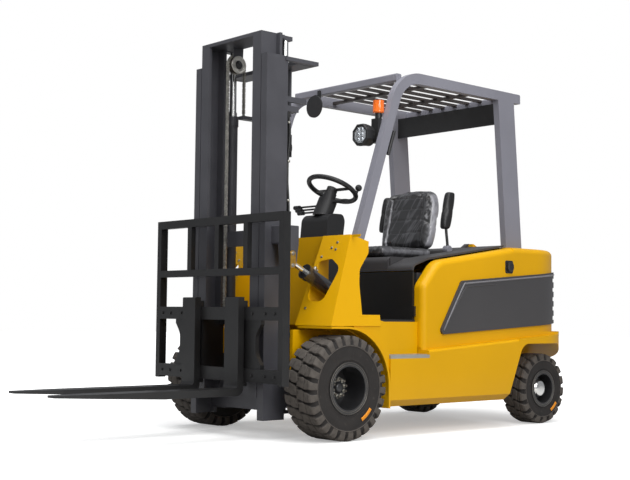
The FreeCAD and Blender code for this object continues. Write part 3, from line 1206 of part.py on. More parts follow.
def carriage():
    piece = Piece("carriage")
    front, back = S.carriage_front, S.carriage_front + S.carriage_bar
    for z in (S.carriage_low, S.carriage_high - S.bar_tall):
        piece.pad("front", front, back, box_outline(
            -S.carriage_half, z, S.carriage_half, z + S.bar_tall))
    low_z, high_z = S.carriage_low + S.bar_tall, S.carriage_high - S.bar_tall
    rear_line = S.mast_rear - S.mast_flange - S.run_gap - S.mast_web
    front_line = S.mast_front + S.mast_web
    roller_rad = (rear_line - front_line) / 2 - S.run_gap
    roller_y = (rear_line + front_line) / 2
    web_in = S.mast_half - S.mast_reach - S.run_gap - S.mast_web
    for word, side in SIDES:
        piece.pad("front", front + 8, back, flip([
            (130, low_z - 5), (396, low_z - 5), (396, low_z + 22), (352, low_z + 80, 80),
            (352, high_z - 80, 80), (396, high_z - 22), (396, high_z + 5), (130, high_z + 5)],
            side))
        def span(a, b):
            return sorted((sized(a) * side, sized(b) * side), key=lambda size: size.value)
        low, high = span(152, 176)
        piece.pad("side", low, high, [
            (back - 5, S.carriage_low + 10), (roller_y + 30, S.carriage_low + 40, 30),
            (roller_y + 30, S.carriage_high - 30, 30), (back - 5, S.carriage_high)])
        low, high = span(170, web_in - S.run_gap)
        for z in (S.carriage_low + 90, S.carriage_high - 80):
            piece.pad("side", low, high, (roller_y, z, roller_rad))
        low, high = span(S.chain_x - 16, 156)
        piece.pad("top", S.carriage_high - 100, S.carriage_high - 60, box_outline(
            low, S.chain_y - S.pulley_rad - 22, high, S.chain_y - S.pulley_rad + 10))
    piece.done()

    rest = Piece("backrest")
    top, deep = S.backrest_top, S.backrest_deep
    inner_edge = S.backrest_half - S.backrest_post
    for word, side in SIDES:
        low, high = sorted((inner_edge * side, S.backrest_half * side),
                           key=lambda size: size.value)
        rest.pad("top", S.carriage_low - 10, top, box_outline(low, front, high, front + deep))
    rest.pad("front", front, front + 34, box_outline(-inner_edge, top - 46, inner_edge, top))
    rest.pad("front", front, front + 34, box_outline(
        -inner_edge, S.backrest_mid - 20, inner_edge, S.backrest_mid + 20))
    for x in (-262, 0, 262):
        rest.pad("front", front, front + 30, box_outline(
            x - 19, S.backrest_mid, x + 19, top - 20))
    rest.done()

    for word, side in SIDES:
        fork = Piece(f"fork_{word}")
        x = S.fork_x * side
        low, high = x - S.fork_wide / 2, x + S.fork_wide / 2
        back_face = S.carriage_front - S.seat_gap
        shank = back_face - S.fork_thick
        blade = S.fork_blade_top
        fork.pad("side", low, high, [
            (back_face, S.fork_head), (shank, S.fork_head, 8), (shank, blade, 18),
            (S.fork_tip, blade), (S.fork_tip, blade - S.fork_tip_thick),
            (S.fork_tip + 620, blade - S.fork_thick),
            (back_face, blade - S.fork_thick, 42)])
        fork.pad("side", low, high, box_outline(
            back_face - 1, S.carriage_high + S.seat_gap, back_face + 24, S.fork_head - 20))
        fork.pad("side", low, high, box_outline(
            back_face - 1, S.carriage_low - S.seat_gap - 22, back_face + 24,
            S.carriage_low - S.seat_gap))
        for hand in (1, -1):
            outer_edge = x + S.fork_wide / 2 * hand
            tip_edge = x + S.fork_tip_wide / 2 * hand
            corner = [(outer_edge, S.fork_tip + 260), (tip_edge, S.fork_tip),
                      (tip_edge, S.fork_tip - 10), (outer_edge + 10 * hand, S.fork_tip - 10),
                      (outer_edge + 10 * hand, S.fork_tip + 260)]
            fork.pocket("top", blade - 60, blade + 1, corner)
        fork.done()


def tilt_cylinders():
    across = S.tilt_foot_y - S.tilt_pin_y
    rise = S.tilt_pin_z - S.tilt_foot_z
    length = root(across * across + rise * rise)
    lean = Size(math.degrees(math.atan2(across.value, rise.value)),
                f"atan2({across.formula}; {rise.formula})")
    for word, side in SIDES:
        # along the cylinder's own line, u is the distance from the chassis pin
        def span(a, b):
            return sorted((sized(a) * side, sized(b) * side), key=lambda size: size.value)
        x = S.tilt_x * side
        tube = Piece(f"tilt_tube_{word}")
        head = length * 0.74
        tube.pad("top", 36, head, (0, 0, S.tilt_tube_rad))
        tube.pad("top", head - 34, head, (0, 0, S.tilt_tube_rad + 5))
        low, high = span(-11, 11)
        tube.pad("side", low, high, (0, 0, 28))
        tube.pad("side", low, high, box_outline(-24, 0, 24, 44))
        tube.pocket("side", low - 1, high + 1, (0, 0, S.tilt_pin_rad + S.seat_gap))
        tube.pocket("top", 100, head + 1, (0, 0, S.tilt_rod_rad + S.seat_gap))
        tube.body.Placement.Rotation = FreeCAD.Rotation(FreeCAD.Vector(1, 0, 0), lean.value)
        bind(tube.body, "Placement.Rotation.Angle", lean)
        tube.done(x, S.tilt_foot_y, S.tilt_foot_z)
        rod_piece = Piece(f"tilt_rod_{word}")
        rod_piece.pad("top", length * 0.4, length - 16, (0, 0, S.tilt_rod_rad))
        low, high = span(-11, 11)
        rod_piece.pad("side", low, high, (0, length, 30))
        rod_piece.pocket("side", low - 1, high + 1, (0, length, S.tilt_pin_rad + S.tilt_play))
        rod_piece.body.Placement.Rotation = FreeCAD.Rotation(FreeCAD.Vector(1, 0, 0), lean.value)
        bind(rod_piece.body, "Placement.Rotation.Angle", lean)
        rod_piece.done(x, S.tilt_foot_y, S.tilt_foot_z)


def hood_and_seat():
    hood = Piece("hood")
    lift = 8
    side_x = S.skirt_in - S.hood_gap
    thick = S.hood_thick

    def skin_z(y):
        return cover_z(y) + lift + thick

    rim = [(S.cover_front - 12, S.hood_low), (S.cover_front - 12, S.cover_knee_z + 120, 40),
           (S.cover_shoulder_y - 10, skin_z(S.cover_shoulder_y - 10), 130),
           (S.bay_rear - S.hood_gap, skin_z(S.bay_rear - S.hood_gap)),
           (S.bay_rear - S.hood_gap, skin_z(S.bay_rear - S.hood_gap) - thick),
           (S.cover_shoulder_y - 6, skin_z(S.cover_shoulder_y - 6) - thick, 118),
           (S.cover_front, S.cover_knee_z + 114, 28), (S.cover_front, S.hood_low)]
    pan_half = S.seat_half + 70
    pan_rear = S.seat_rear + 110
    pan = [(S.cover_front - 12, S.hood_low), (S.cover_front - 12, S.seat_pan, 40),
           (pan_rear, S.seat_pan, 30), (pan_rear + 60, skin_z(pan_rear + 60), 30),
           (S.bay_rear - S.hood_gap, skin_z(S.bay_rear - S.hood_gap)),
           (S.bay_rear - S.hood_gap, skin_z(S.bay_rear - S.hood_gap) - thick),
           (pan_rear + 66, skin_z(pan_rear + 66) - thick, 18),
           (pan_rear + 12, S.seat_pan - thick, 18), (S.cover_front, S.seat_pan - thick, 28),
           (S.cover_front, S.hood_low)]
    hood.pad("side", -pan_half, pan_half, pan)
    for hand in (1, -1):
        low, high = sorted((pan_half * hand, side_x * hand), key=lambda size: size.value)
        hood.pad("side", low, high, rim)
        low, high = sorted(((pan_half - 1) * hand, (pan_half + 12) * hand),
                           key=lambda size: size.value)
        hood.pad("side", low, high, [
            (S.cover_front - 12, S.hood_low), (S.cover_front - 12, S.cover_knee_z + 120, 40),
            (S.cover_shoulder_y - 10, skin_z(S.cover_shoulder_y - 10), 130),
            (pan_rear + 60, skin_z(pan_rear + 60)), (pan_rear, S.seat_pan - thick),
            (S.cover_front, S.seat_pan - thick), (S.cover_front, S.hood_low)])
    for hand in (1, -1):
        low, high = sorted((sized(184) * hand, sized(216) * hand), key=lambda size: size.value)
        hood.pad("side", low, high, [
            (S.bay_rear - 50, skin_z(S.bay_rear - 50) - 2), (S.hinge_y, S.hinge_z - 8),
            (S.hinge_y + 2, S.hinge_z + 12), (S.hinge_y - 10, S.hinge_z + 12)])
        hood.pad("side", low, high, (S.hinge_y, S.hinge_z, 12))
        hood.pocket("side", low - 1, high + 1,
                    (S.hinge_y, S.hinge_z, S.hinge_rad + S.seat_gap))
    hood.done()
    base = Piece("seat_base")
    base.pad("side", -S.seat_half + 50, S.seat_half - 50, box_outline(
        S.cover_shoulder_y, S.seat_pan, S.seat_rear - 10, S.seat_low))
    base.done()
    cushion = Piece("seat_cushion")
    front = S.seat_rear - 470
    cushion.pad("side", -S.seat_half, S.seat_half, [
        (front, S.seat_low, 18), (S.seat_rear, S.seat_low), (S.seat_rear, S.seat_top, 20),
        (front, S.seat_top, 24)])
    cushion.done()
    back = Piece("seat_back")
    low = S.seat_low + 12
    back.pad("side", -S.seat_half + 5, S.seat_half - 5, [
        (S.seat_rear + S.seat_gap, low), (S.seat_rear + 70, low + 20, 30),
        (S.seat_rear + 150, S.seat_back_top - 8, 40), (S.seat_rear + 62, S.seat_back_top, 36),
        (S.seat_rear + S.seat_gap, S.seat_top + 60)])
    back.done()
    arms = Piece("armrests")
    for word, side in SIDES:
        low, high = sorted(((S.seat_half + 16) * side, (S.seat_half + 62) * side),
                           key=lambda size: size.value)
        foot, head = S.seat_back_top - 250, S.seat_back_top - 16
        arms.pad("side", low, high, [
            (S.seat_rear + 24, foot, 26), (S.seat_rear + 88, foot, 26),
            (S.seat_rear + 140, head, 22), (S.seat_rear + 76, head + 6, 22)])
        low, high = sorted(((S.seat_half + 26) * side, (S.seat_half + 40) * side),
                           key=lambda size: size.value)
        arms.pad("side", low, high, [
            (S.seat_rear + 22, S.arm_pivot_z), (S.seat_rear + 42, S.arm_pivot_z),
            (S.seat_rear + 74, foot + 40), (S.seat_rear + 52, foot + 40)])
        low, high = sorted(((S.seat_half - 5 + S.seat_gap) * side, (S.seat_half + 46) * side),
                           key=lambda size: size.value)
        arms.pad("side", low, high, (S.seat_rear + 32, S.arm_pivot_z, 25))
    arms.done()


for make in (wheels, chassis_frame, front_cowl, floor_and_steps, battery_and_covers,
             side_panels, counterweight, overhead_guard, operator_station, lamps, axles, mast, carriage,
             tilt_cylinders, hood_and_seat):
    make()
doc.recompute()

faults = []
for thing in doc.Objects:
    if "Invalid" in thing.State or "Error" in thing.State:
        faults.append(f"{thing.Label}: {thing.State}")
for node in nodes:
    if node.Shape.isNull() or not node.Shape.isValid() or not node.Shape.Solids:
        faults.append(f"{node.Label}: no valid solid")
if faults:
    raise RuntimeError("; ".join(faults))

os.makedirs("parts", exist_ok=True)
for node in nodes:
    node.Shape.exportStep(os.path.join("parts", node.Label + ".step"))
    box = node.Shape.BoundBox
    print(f"{node.Label}: {len(node.Shape.Solids)} solids, {node.Shape.Volume / 1e6:.2f} litres, "
          f"x {box.XMin:.0f}..{box.XMax:.0f} y {box.YMin:.0f}..{box.YMax:.0f} "
          f"z {box.ZMin:.0f}..{box.ZMax:.0f}")
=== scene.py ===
# %% [markdown]
# An electric forklift truck: four wheels, a two-stage mast in front, a battery under the
# seat and a heavy casting behind. The construction is loaded as a fixed frame. This script
# gives every surface its finish, and adds what is too fine for the frame: tyre tread,
# seat upholstery, chain links, bolts, glass and lamp optics.

# %% Load the frame
import json
import math
import bmesh
import bpy
import numpy as np
from mathutils import Matrix, Vector


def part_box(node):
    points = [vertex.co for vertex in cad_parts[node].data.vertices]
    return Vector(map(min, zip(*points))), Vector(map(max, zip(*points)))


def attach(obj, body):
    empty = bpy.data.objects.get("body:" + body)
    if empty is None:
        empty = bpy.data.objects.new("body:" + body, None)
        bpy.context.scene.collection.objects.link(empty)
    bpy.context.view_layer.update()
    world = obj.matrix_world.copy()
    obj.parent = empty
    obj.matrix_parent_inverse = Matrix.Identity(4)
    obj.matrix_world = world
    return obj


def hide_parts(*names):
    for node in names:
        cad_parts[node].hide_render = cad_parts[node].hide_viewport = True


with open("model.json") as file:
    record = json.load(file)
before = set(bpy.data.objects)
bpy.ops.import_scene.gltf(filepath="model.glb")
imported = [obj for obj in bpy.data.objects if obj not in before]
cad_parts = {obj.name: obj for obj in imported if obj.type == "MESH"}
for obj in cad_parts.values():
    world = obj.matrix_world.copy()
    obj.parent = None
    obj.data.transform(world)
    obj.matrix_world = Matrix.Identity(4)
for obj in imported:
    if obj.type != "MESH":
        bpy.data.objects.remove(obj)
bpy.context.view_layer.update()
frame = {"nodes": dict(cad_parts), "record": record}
nodes = frame["nodes"]

# %% [markdown]
# Every place below is written in the truck's own terms: x to its left, y to its rear from
# the drive axle, z up from the floor. The frame's origin is the middle of the footprint, so
# one number, the drive axle's place along y, turns the one into the other.

# %% Where the truck's own origin lies
wheel_low, wheel_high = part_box("tyre_front_left")
AXLE_Y = (wheel_low[1] + wheel_high[1]) / 2
SIDES = (("left", 1), ("right", -1))
print("drive axle at y", round(AXLE_Y, 4))


def place(x, y, z):
    """A point given in the truck's millimetres, in the frame's metres."""
    return np.array([x / 1000, y / 1000 + AXLE_Y, z / 1000])


# %% [markdown]
# The camera stands where the photographer stood: at hip height, well ahead and to the
# truck's left, looking very slightly up. Its three directions follow from the heading, the
# pitch and a small roll: forward = (-sin a cos p, cos a cos p, sin p), right = (cos a,
# sin a, 0), up = right x forward.

# %% Camera
HEADING, PITCH, ROLL = math.radians(48.4), math.radians(3.6), math.radians(0.61)
EYE = place(5333.6, -4411.6, 686.3)
FOCAL_PIXELS, PHOTO_WIDE = 1179.8, 630

forward = np.array([-math.sin(HEADING) * math.cos(PITCH),
                    math.cos(HEADING) * math.cos(PITCH), math.sin(PITCH)])
level = np.array([math.cos(HEADING), math.sin(HEADING), 0.0])
upward = np.cross(level, forward)
right = math.cos(ROLL) * level + math.sin(ROLL) * upward
top = -math.sin(ROLL) * level + math.cos(ROLL) * upward
camera_data = bpy.data.cameras.new("photo_view")
camera_data.sensor_width = 36
camera_data.lens = FOCAL_PIXELS / PHOTO_WIDE * camera_data.sensor_width
camera_data.clip_end = 100
camera = bpy.data.objects.new("photo_view", camera_data)
camera.matrix_world = Matrix(np.vstack([np.column_stack([right, top, -forward, EYE]),
                                        [0, 0, 0, 1]]).tolist())
bpy.context.collection.objects.link(camera)
bpy.context.scene.camera = camera
bpy.context.scene.view_settings.view_transform = "Standard"
print("lens", round(camera_data.lens, 1), "mm")


# %% [markdown]
# Two helpers carry nearly every new piece. The first puts numpy arrays of points and faces
# into a mesh. The second takes a whole grid of points, one for each pair of its two
# parameters, and joins neighbours into four-sided faces.

# %% Meshes from arrays
def mesh_piece(name, points, faces, smooth=True):
    """An object whose mesh has these points (n x 3) and faces (lists of point numbers)."""
    mesh = bpy.data.meshes.new(name)
    mesh.from_pydata(np.asarray(points).tolist(), [], [list(face) for face in faces])
    mesh.update()
    mesh.polygons.foreach_set("use_smooth", np.full(len(mesh.polygons), smooth))
    piece = bpy.data.objects.new(name, mesh)
    bpy.context.collection.objects.link(piece)
    return piece


def grid_faces(rows, columns, wrap_rows=False, wrap_columns=False, first=0):
    """Faces of a grid: point (i, j) is number i * columns + j, and each face joins it to
    (i + 1, j), (i + 1, j + 1) and (i, j + 1), the last row or column closing on the first."""
    i, j = np.meshgrid(np.arange(rows if wrap_rows else rows - 1),
                       np.arange(columns if wrap_columns else columns - 1), indexing="ij")
    i_next, j_next = (i + 1) % rows, (j + 1) % columns
    corners = (i * columns + j, i_next * columns + j, i_next * columns + j_next,
               i * columns + j_next)
    return np.stack(corners, axis=-1).reshape(-1, 4) + first


def outward(piece, merge=0.00001):
    """Merge doubles, unless merge is None, and turn every face outwards."""
    shape = bmesh.new()
    shape.from_mesh(piece.data)
    if merge is not None:
        bmesh.ops.remove_doubles(shape, verts=shape.verts, dist=merge)
    bmesh.ops.recalc_face_normals(shape, faces=shape.faces)
    shape.to_mesh(piece.data)
    shape.free()
    return piece


def thicken(piece, thickness, offset):
    """Make an open sheet solid; offset 0 keeps it in the middle and -1 behind its face."""
    solid = piece.modifiers.new("thickness", "SOLIDIFY")
    solid.thickness, solid.offset = thickness, offset


def read(items, name, kind=float):
    """A property of three numbers of every item, as an array n x 3."""
    values = np.empty(len(items) * 3, kind)
    items.foreach_get(name, values)
    return values.reshape(-1, 3)


# %% [markdown]
# A look is a small network of shader nodes. These helpers add a node, give its inputs plain
# values or links from other nodes' outputs, and mix two colours.

# %% Shader nodes
def feed(tree, node, values):
    """Each input, by name or number, takes a plain value or a link from an output."""
    for key, value in values.items():
        if isinstance(value, bpy.types.NodeSocket):
            tree.links.new(value, node.inputs[key])
        else:
            node.inputs[key].default_value = value


def add_node(tree, kind, values=None, **settings):
    """A new shader node. Its settings come first, because its inputs depend on them."""
    node = tree.nodes.new("ShaderNode" + kind)
    for key, value in settings.items():
        setattr(node, key, value)
    feed(tree, node, values or {})
    return node


def mix_colours(tree, share, first, second):
    """An output that goes from the first colour to the second with the share."""
    return add_node(tree, "Mix", {"Factor": share, "A": first, "B": second},
                    data_type="RGBA").outputs["Result"]


def calculate(tree, operation, *values):
    """The output of a sum or product of values and outputs."""
    return add_node(tree, "Math", dict(enumerate(values)), operation=operation).outputs[0]


# %% [markdown]
# A photographic studio: a wide pale floor, a white surround that only the camera and the
# reflections see, and large soft lamps that light from above and from the camera's side.

# %% Floor, surround and lamps
def lamp(name, where, aim, size, power):
    """A square soft lamp at a point, turned so that its -Z axis looks at the aim."""
    data = bpy.data.lights.new(name, "AREA")
    data.size = size
    data.energy = power
    light = bpy.data.objects.new(name, data)
    light.location = where
    light.rotation_euler = (Vector(aim) - Vector(where)).to_track_quat("-Z", "Y").to_euler()
    bpy.context.collection.objects.link(light)


lamp("overhead", (1.0, -1.0, 6.5), (0, 0, 0.8), 6.0, 420)
lamp("beside_camera", (6.5, -2.0, 3.6), (0, 0, 1.0), 4.0, 300)
lamp("ahead", (-1.5, -7.5, 3.2), (0, -1, 1.0), 4.0, 50)

world = bpy.data.worlds.new("surround")
world.use_nodes = True
bpy.context.scene.world = world
tree = world.node_tree
tree.nodes.clear()
ambient = add_node(tree, "Background", {"Color": (0.93, 0.95, 1.0, 1), "Strength": 0.38})
backdrop = add_node(tree, "Background", {"Color": (1, 1, 1, 1), "Strength": 1.0})
chooser = add_node(tree, "MixShader", {
    "Fac": add_node(tree, "LightPath").outputs["Is Camera Ray"], 1: ambient.outputs[0],
    2: backdrop.outputs[0]})
add_node(tree, "OutputWorld", {"Surface": chooser.outputs[0]})

# The floor is lit like any other, so it takes the soft shadows, but the camera also sees it
# glow a little, and more further out, until it is as white as the surround. Light that the
# floor throws back up is weaker than that, so that undersides stay dark.
floor = mesh_piece("floor", np.array([[-30, -30, 0], [30, -30, 0], [30, 30, 0], [-30, 30, 0]]),
                   [(0, 1, 2, 3)], smooth=False)
floor_look = bpy.data.materials.new("pale_floor")
floor_look.use_nodes = True
tree = floor_look.node_tree
rays = add_node(tree, "LightPath").outputs
distance = add_node(tree, "VectorMath", {0: add_node(tree, "TexCoord").outputs["Object"]},
                    operation="LENGTH")
glow = add_node(tree, "MapRange", {"Value": distance.outputs["Value"], "From Min": 1.2,
                                   "From Max": 4.5, "To Min": 0.36, "To Max": 1.0})
only_seen = calculate(tree, "MULTIPLY", glow.outputs[0], rays["Is Camera Ray"])
feed(tree, tree.nodes["Principled BSDF"], {
    "Roughness": 0.9, "Emission Color": (1, 1, 1, 1), "Emission Strength": only_seen,
    "Base Color": mix_colours(tree, rays["Is Diffuse Ray"], (0.86, 0.86, 0.85, 1),
                              (0.34, 0.32, 0.30, 1))})
floor.data.materials.append(floor_look)


# %% [markdown]
# Real paint is never one flat colour. Each finish starts from a shader with its own plain
# numbers, and noise in the object's own coordinates shifts its colour a little, breaks up
# its gloss and gives it a fine relief, at the scale that the real surface shows.

# %% A finish with grain, wear and dust
def srgb(red, green, blue):
    """A display colour as the linear one that the shader takes: each channel is
    ((c + 0.055) / 1.055) to the power 2.4."""
    return tuple(((c + 0.055) / 1.055) ** 2.4 if c > 0.04045 else c / 12.92
                 for c in (red, green, blue)) + (1.0,)


DUST_HIGH, DUST_COLOUR = 0.35, srgb(0.55, 0.52, 0.47)


def finish(name, colour, roughness, metallic=0.0, coat=0.0, blotch=0.12, blotch_scale=3.0,
           grain=0.1, grain_scale=400.0, gloss_spread=0.08, dust=0.0, specular=0.5):
    """A finish: the colour drifts by blotch over patches, the roughness by gloss_spread,
    grain is the depth of the fine relief, and dust fades in from DUST_HIGH down."""
    look = bpy.data.materials.new(name)
    look.use_nodes = True
    tree = look.node_tree
    where = add_node(tree, "TexCoord").outputs["Object"]
    patches = add_node(tree, "TexNoise", {"Scale": blotch_scale, "Detail": 6, "Vector": where})
    shades = add_node(tree, "ValToRGB", {"Fac": patches.outputs["Fac"]})
    base = srgb(*colour)[:3]
    for stop, position, sign in zip(shades.color_ramp.elements, (0.3, 0.7), (-1, 1)):
        stop.position = position
        stop.color = tuple(min(c * (1 + sign * blotch), 1) for c in base) + (1,)
    colour_out = shades.outputs["Color"]
    if dust:
        split = add_node(tree, "SeparateXYZ", {0: where})
        height = add_node(tree, "MapRange", {"Value": split.outputs["Z"], "From Min": DUST_HIGH,
                                             "From Max": 0.0, "To Max": dust})
        film = calculate(tree, "MULTIPLY", height.outputs[0], patches.outputs["Fac"])
        colour_out = mix_colours(tree, film, colour_out, DUST_COLOUR)
    fine = add_node(tree, "TexNoise", {"Scale": grain_scale, "Detail": 3, "Vector": where})
    gloss = add_node(tree, "MapRange", {
        "Value": patches.outputs["Fac"], "To Min": max(roughness - gloss_spread, 0.02),
        "To Max": min(roughness + gloss_spread, 1)})
    relief = add_node(tree, "Bump", {"Strength": grain, "Distance": 0.001,
                                     "Height": fine.outputs["Fac"]})
    feed(tree, tree.nodes["Principled BSDF"], {
        "Metallic": metallic, "Coat Weight": coat, "Coat Roughness": 0.08,
        "Specular IOR Level": specular, "Base Color": colour_out,
        "Roughness": gloss.outputs[0], "Normal": relief.outputs["Normal"]})
    return look


yellow_paint = finish("golden_enamel", (0.86, 0.645, 0.0), 0.42, coat=0.06, blotch=0.05,
                      blotch_scale=1.5, grain=0.05, grain_scale=900, dust=0.12, specular=0.2)
# The roof's finish is the guard's grey made darker: painted shade, for an underside seen from
# below.
roof_painted_shade = finish("roof_enamel_painted_shade", (0.225, 0.205, 0.20), 0.5, blotch=0.12, grain=0.08)
# The moulding's raised rim is painted paler than the moulding: a painted highlight along its
# top, which faces the light.
moulding_painted_highlight = finish("moulding_edge_painted_highlight", (0.46, 0.455, 0.47), 0.42, blotch=0.05, grain=0.2,
                      grain_scale=1400)
guard_paint = finish("mid_grey_enamel", (0.50, 0.50, 0.535), 0.42, blotch=0.06, grain=0.05)
mast_paint = finish("charcoal_enamel", (0.265, 0.265, 0.285), 0.45, blotch=0.12,
                    blotch_scale=6, grain=0.12, grain_scale=250)
cylinder_paint = finish("cylinder_enamel", (0.15, 0.15, 0.155), 0.24, coat=0.7, blotch=0.08,
                        grain=0.04)
black_paint = finish("black_enamel", (0.12, 0.12, 0.12), 0.40, blotch=0.15, grain=0.08)
fork_paint = finish("worn_black_enamel", (0.06, 0.058, 0.06), 0.42, blotch=0.2,
                    blotch_scale=9, grain=0.15, grain_scale=220)
panel_plastic = finish("dark_grey_moulding", (0.24, 0.235, 0.24), 0.5, blotch=0.05,
                       grain=0.25, grain_scale=1400)
black_plastic = finish("black_moulding", (0.11, 0.11, 0.115), 0.5, blotch=0.08, grain=0.3,
                       grain_scale=1600)
tread_aluminium = finish("step_aluminium", (0.66, 0.66, 0.63), 0.42, metallic=0.6,
                         grain=0.2, grain_scale=500)
orange_lens = finish("orange_lens", (0.92, 0.42, 0.05), 0.18, coat=0.6, blotch=0.05)
red_lens = finish("red_lens", (0.62, 0.05, 0.05), 0.2, coat=0.6, blotch=0.05)
tyre_rubber = finish("dusty_rubber", (0.20, 0.185, 0.175), 0.78, blotch=0.22,
                     blotch_scale=14, grain=0.35, grain_scale=300, specular=0.3)
rim_paint = finish("rim_black", (0.155, 0.155, 0.16), 0.30, blotch=0.15, grain=0.06)
chrome = finish("hard_chrome", (0.86, 0.86, 0.85), 0.14, metallic=1.0, blotch=0.03,
                gloss_spread=0.04, grain=0.02)
oiled_steel = finish("oiled_steel", (0.42, 0.40, 0.37), 0.38, metallic=0.9, blotch=0.25,
                     blotch_scale=30, grain=0.2)
vinyl = finish("black_vinyl", (0.09, 0.09, 0.095), 0.42, blotch=0.08, grain=0.4,
               grain_scale=700)

# %% [markdown]
# Every piece of the frame takes the finish of its material slot, and one table says which.

# %% Finishes on the frame's own pieces
LOOKS = {
    "body_yellow": yellow_paint, "guard_grey": guard_paint, "panel_grey": panel_plastic,
    "black_steel": black_paint, "mast_charcoal": mast_paint, "fork_black": fork_paint,
    "black_plastic": black_plastic, "step_aluminium": tread_aluminium,
    "battery_case": panel_plastic, "lamp_orange": orange_lens, "lamp_red": red_lens,
    "tyre_rubber": tyre_rubber, "rim_black": rim_paint, "cylinder_black": cylinder_paint,
    "chrome_rod": chrome, "chain_steel": oiled_steel, "seat_vinyl": vinyl,
}


def paint(piece, look):
    """Give the whole piece one finish."""
    piece.data.materials.clear()
    piece.data.materials.append(look)
    return piece


for part in frame["record"]["subparts"]:
    paint(nodes[part["node"]], LOOKS[part["material_slot"]])
# The roof then takes a darker grey than its slot's: painted shade of its underside, seen from
# below.
paint(nodes["guard_roof"], roof_painted_shade)

# %% [markdown]
# A few more finishes for the small things: zinc and gold-passivated plating, bright chain steel,
# hose rubber, mirror and lamp glass, a near-black painted shade behind the vents, and the rubber
# of the tread, dusty on its lugs, with painted shade in its grooves and a painted highlight on
# its sidewall rib.

# %% Finishes for the added pieces
zinc = finish("zinc_plate", (0.62, 0.61, 0.58), 0.32, metallic=0.95, blotch=0.2,
              blotch_scale=60, grain=0.1)
bright_steel = finish("bright_steel", (0.74, 0.73, 0.70), 0.36, metallic=0.7, blotch=0.3,
                      blotch_scale=45, grain=0.15)
brass = finish("gold_passivated_plate", (0.72, 0.56, 0.24), 0.35, metallic=0.85, blotch=0.2,
               blotch_scale=40, grain=0.1)
hose_rubber = finish("hose_rubber", (0.085, 0.085, 0.085), 0.5, grain=0.2, grain_scale=900)
mirror_glass = finish("mirror_glass", (0.82, 0.84, 0.86), 0.04, metallic=1.0, blotch=0.02,
                      gloss_spread=0.02, grain=0.0)
lamp_glass = finish("lamp_glass", (0.80, 0.82, 0.84), 0.12, metallic=0.3, coat=1.0,
                    blotch=0.06, blotch_scale=30, grain=0.05)
label_ink = finish("blank_label", (0.93, 0.58, 0.05), 0.5, blotch=0.1, blotch_scale=40,
                   grain=0.05)
# A near-black finish for the sheet behind the vent slots: painted shade of the body's inside.
vent_shade_finish = finish("painted_vent_shade", (0.05, 0.05, 0.05), 0.8, blotch=0.1, specular=0.2)


def dusty_tread_with_painted_light():
    """Tyre rubber: the piece's own "worn" value runs from the dusty top of a lug at 0 to the
    dark rubber of grooves and sidewalls at 1; the grooves are painted dark as their shade, and
    the sidewall rib is painted pale as a highlight. Noise breaks the border."""
    look = finish("tread_rubber", (0.17, 0.16, 0.155), 0.8, blotch=0.2, blotch_scale=14,
                  grain=0.5, grain_scale=260, specular=0.3)
    tree = look.node_tree
    shader = tree.nodes["Principled BSDF"]
    dark = shader.inputs["Base Color"].links[0].from_socket
    worn = add_node(tree, "Attribute", attribute_name="worn")
    specks = add_node(tree, "TexNoise", {
        "Scale": 38, "Detail": 8, "Vector": add_node(tree, "TexCoord").outputs["Object"]})
    sum_of = calculate(tree, "ADD", worn.outputs["Fac"], specks.outputs["Fac"])
    border = add_node(tree, "MapRange", {"Value": sum_of, "From Min": 0.75, "From Max": 1.35})
    feed(tree, shader, {"Base Color": mix_colours(tree, border.outputs[0],
                                                  srgb(0.34, 0.32, 0.30), dark)})
    return look


tread_rubber = dusty_tread_with_painted_light()

# %% [markdown]
# More helpers. One turns a profile about an axis, as on a lathe. One lays copies of a small
# mesh on many frames at once, for bolts and chain links. One runs a round section along a
# path, for hoses and handles.

# %% Lathe, copies and tubes
def basis(axis):
    """Two unit vectors at right angles to the axis and to each other."""
    axis = np.asarray(axis, float) / np.linalg.norm(axis)
    helper = np.array([0.0, 0.0, 1.0]) if abs(axis[2]) < 0.9 else np.array([1.0, 0.0, 0.0])
    across = np.cross(helper, axis)
    across /= np.linalg.norm(across)
    return axis, across, np.cross(axis, across)


def lathe(name, profile, centre, axis, sides=64, smooth=True, phase=0.0):
    """The profile's points (h, r) turned about the axis: centre + h axis + r (cos a, sin a)."""
    axis, u, v = basis(axis)
    h, r = np.asarray(profile, float).T
    angle = np.arange(sides) * 2 * np.pi / sides + phase
    ring = np.cos(angle)[:, None] * u + np.sin(angle)[:, None] * v
    points = (np.asarray(centre) + h[:, None, None] * axis
              + r[:, None, None] * ring[None, :, :]).reshape(-1, 3)
    return outward(mesh_piece(name, points, grid_faces(len(h), sides, wrap_columns=True),
                              smooth))


def copies(name, points, faces, frames, smooth=False):
    """One mesh holding a copy of the points for each frame (origin, three directions)."""
    points = np.asarray(points, float)
    frames = np.asarray(frames, float)
    every = np.einsum("pk,fkc->fpc", points, frames[:, 1:]) + frames[:, None, 0]
    lists = [[number + len(points) * copy for number in face]
             for copy in range(len(frames)) for face in faces]
    return outward(mesh_piece(name, every.reshape(-1, 3), lists, smooth), merge=0)


def hexagon_bolt(across, high, washer):
    """Points and faces of a hexagon head on its washer, standing on z = 0."""
    rings = [(washer, 0.0, 24), (washer, high * 0.18, 24), (across * 0.57, high * 0.18, 6),
             (across * 0.57, high * 0.86, 6), (across * 0.47, high, 6)]
    points, faces, first = [], [], 0
    for radius, z, sides in rings:
        angle = np.arange(sides) * 2 * np.pi / sides
        points += np.stack([radius * np.cos(angle), radius * np.sin(angle),
                            np.full(sides, z)], axis=1).tolist()
    faces += grid_faces(2, 24, wrap_columns=True).tolist()
    faces.append(list(range(24, 48)))
    faces.append(list(range(23, -1, -1)))
    faces += grid_faces(3, 6, wrap_columns=True, first=48).tolist()
    faces.append([60 + number for number in range(6)])
    return points, faces


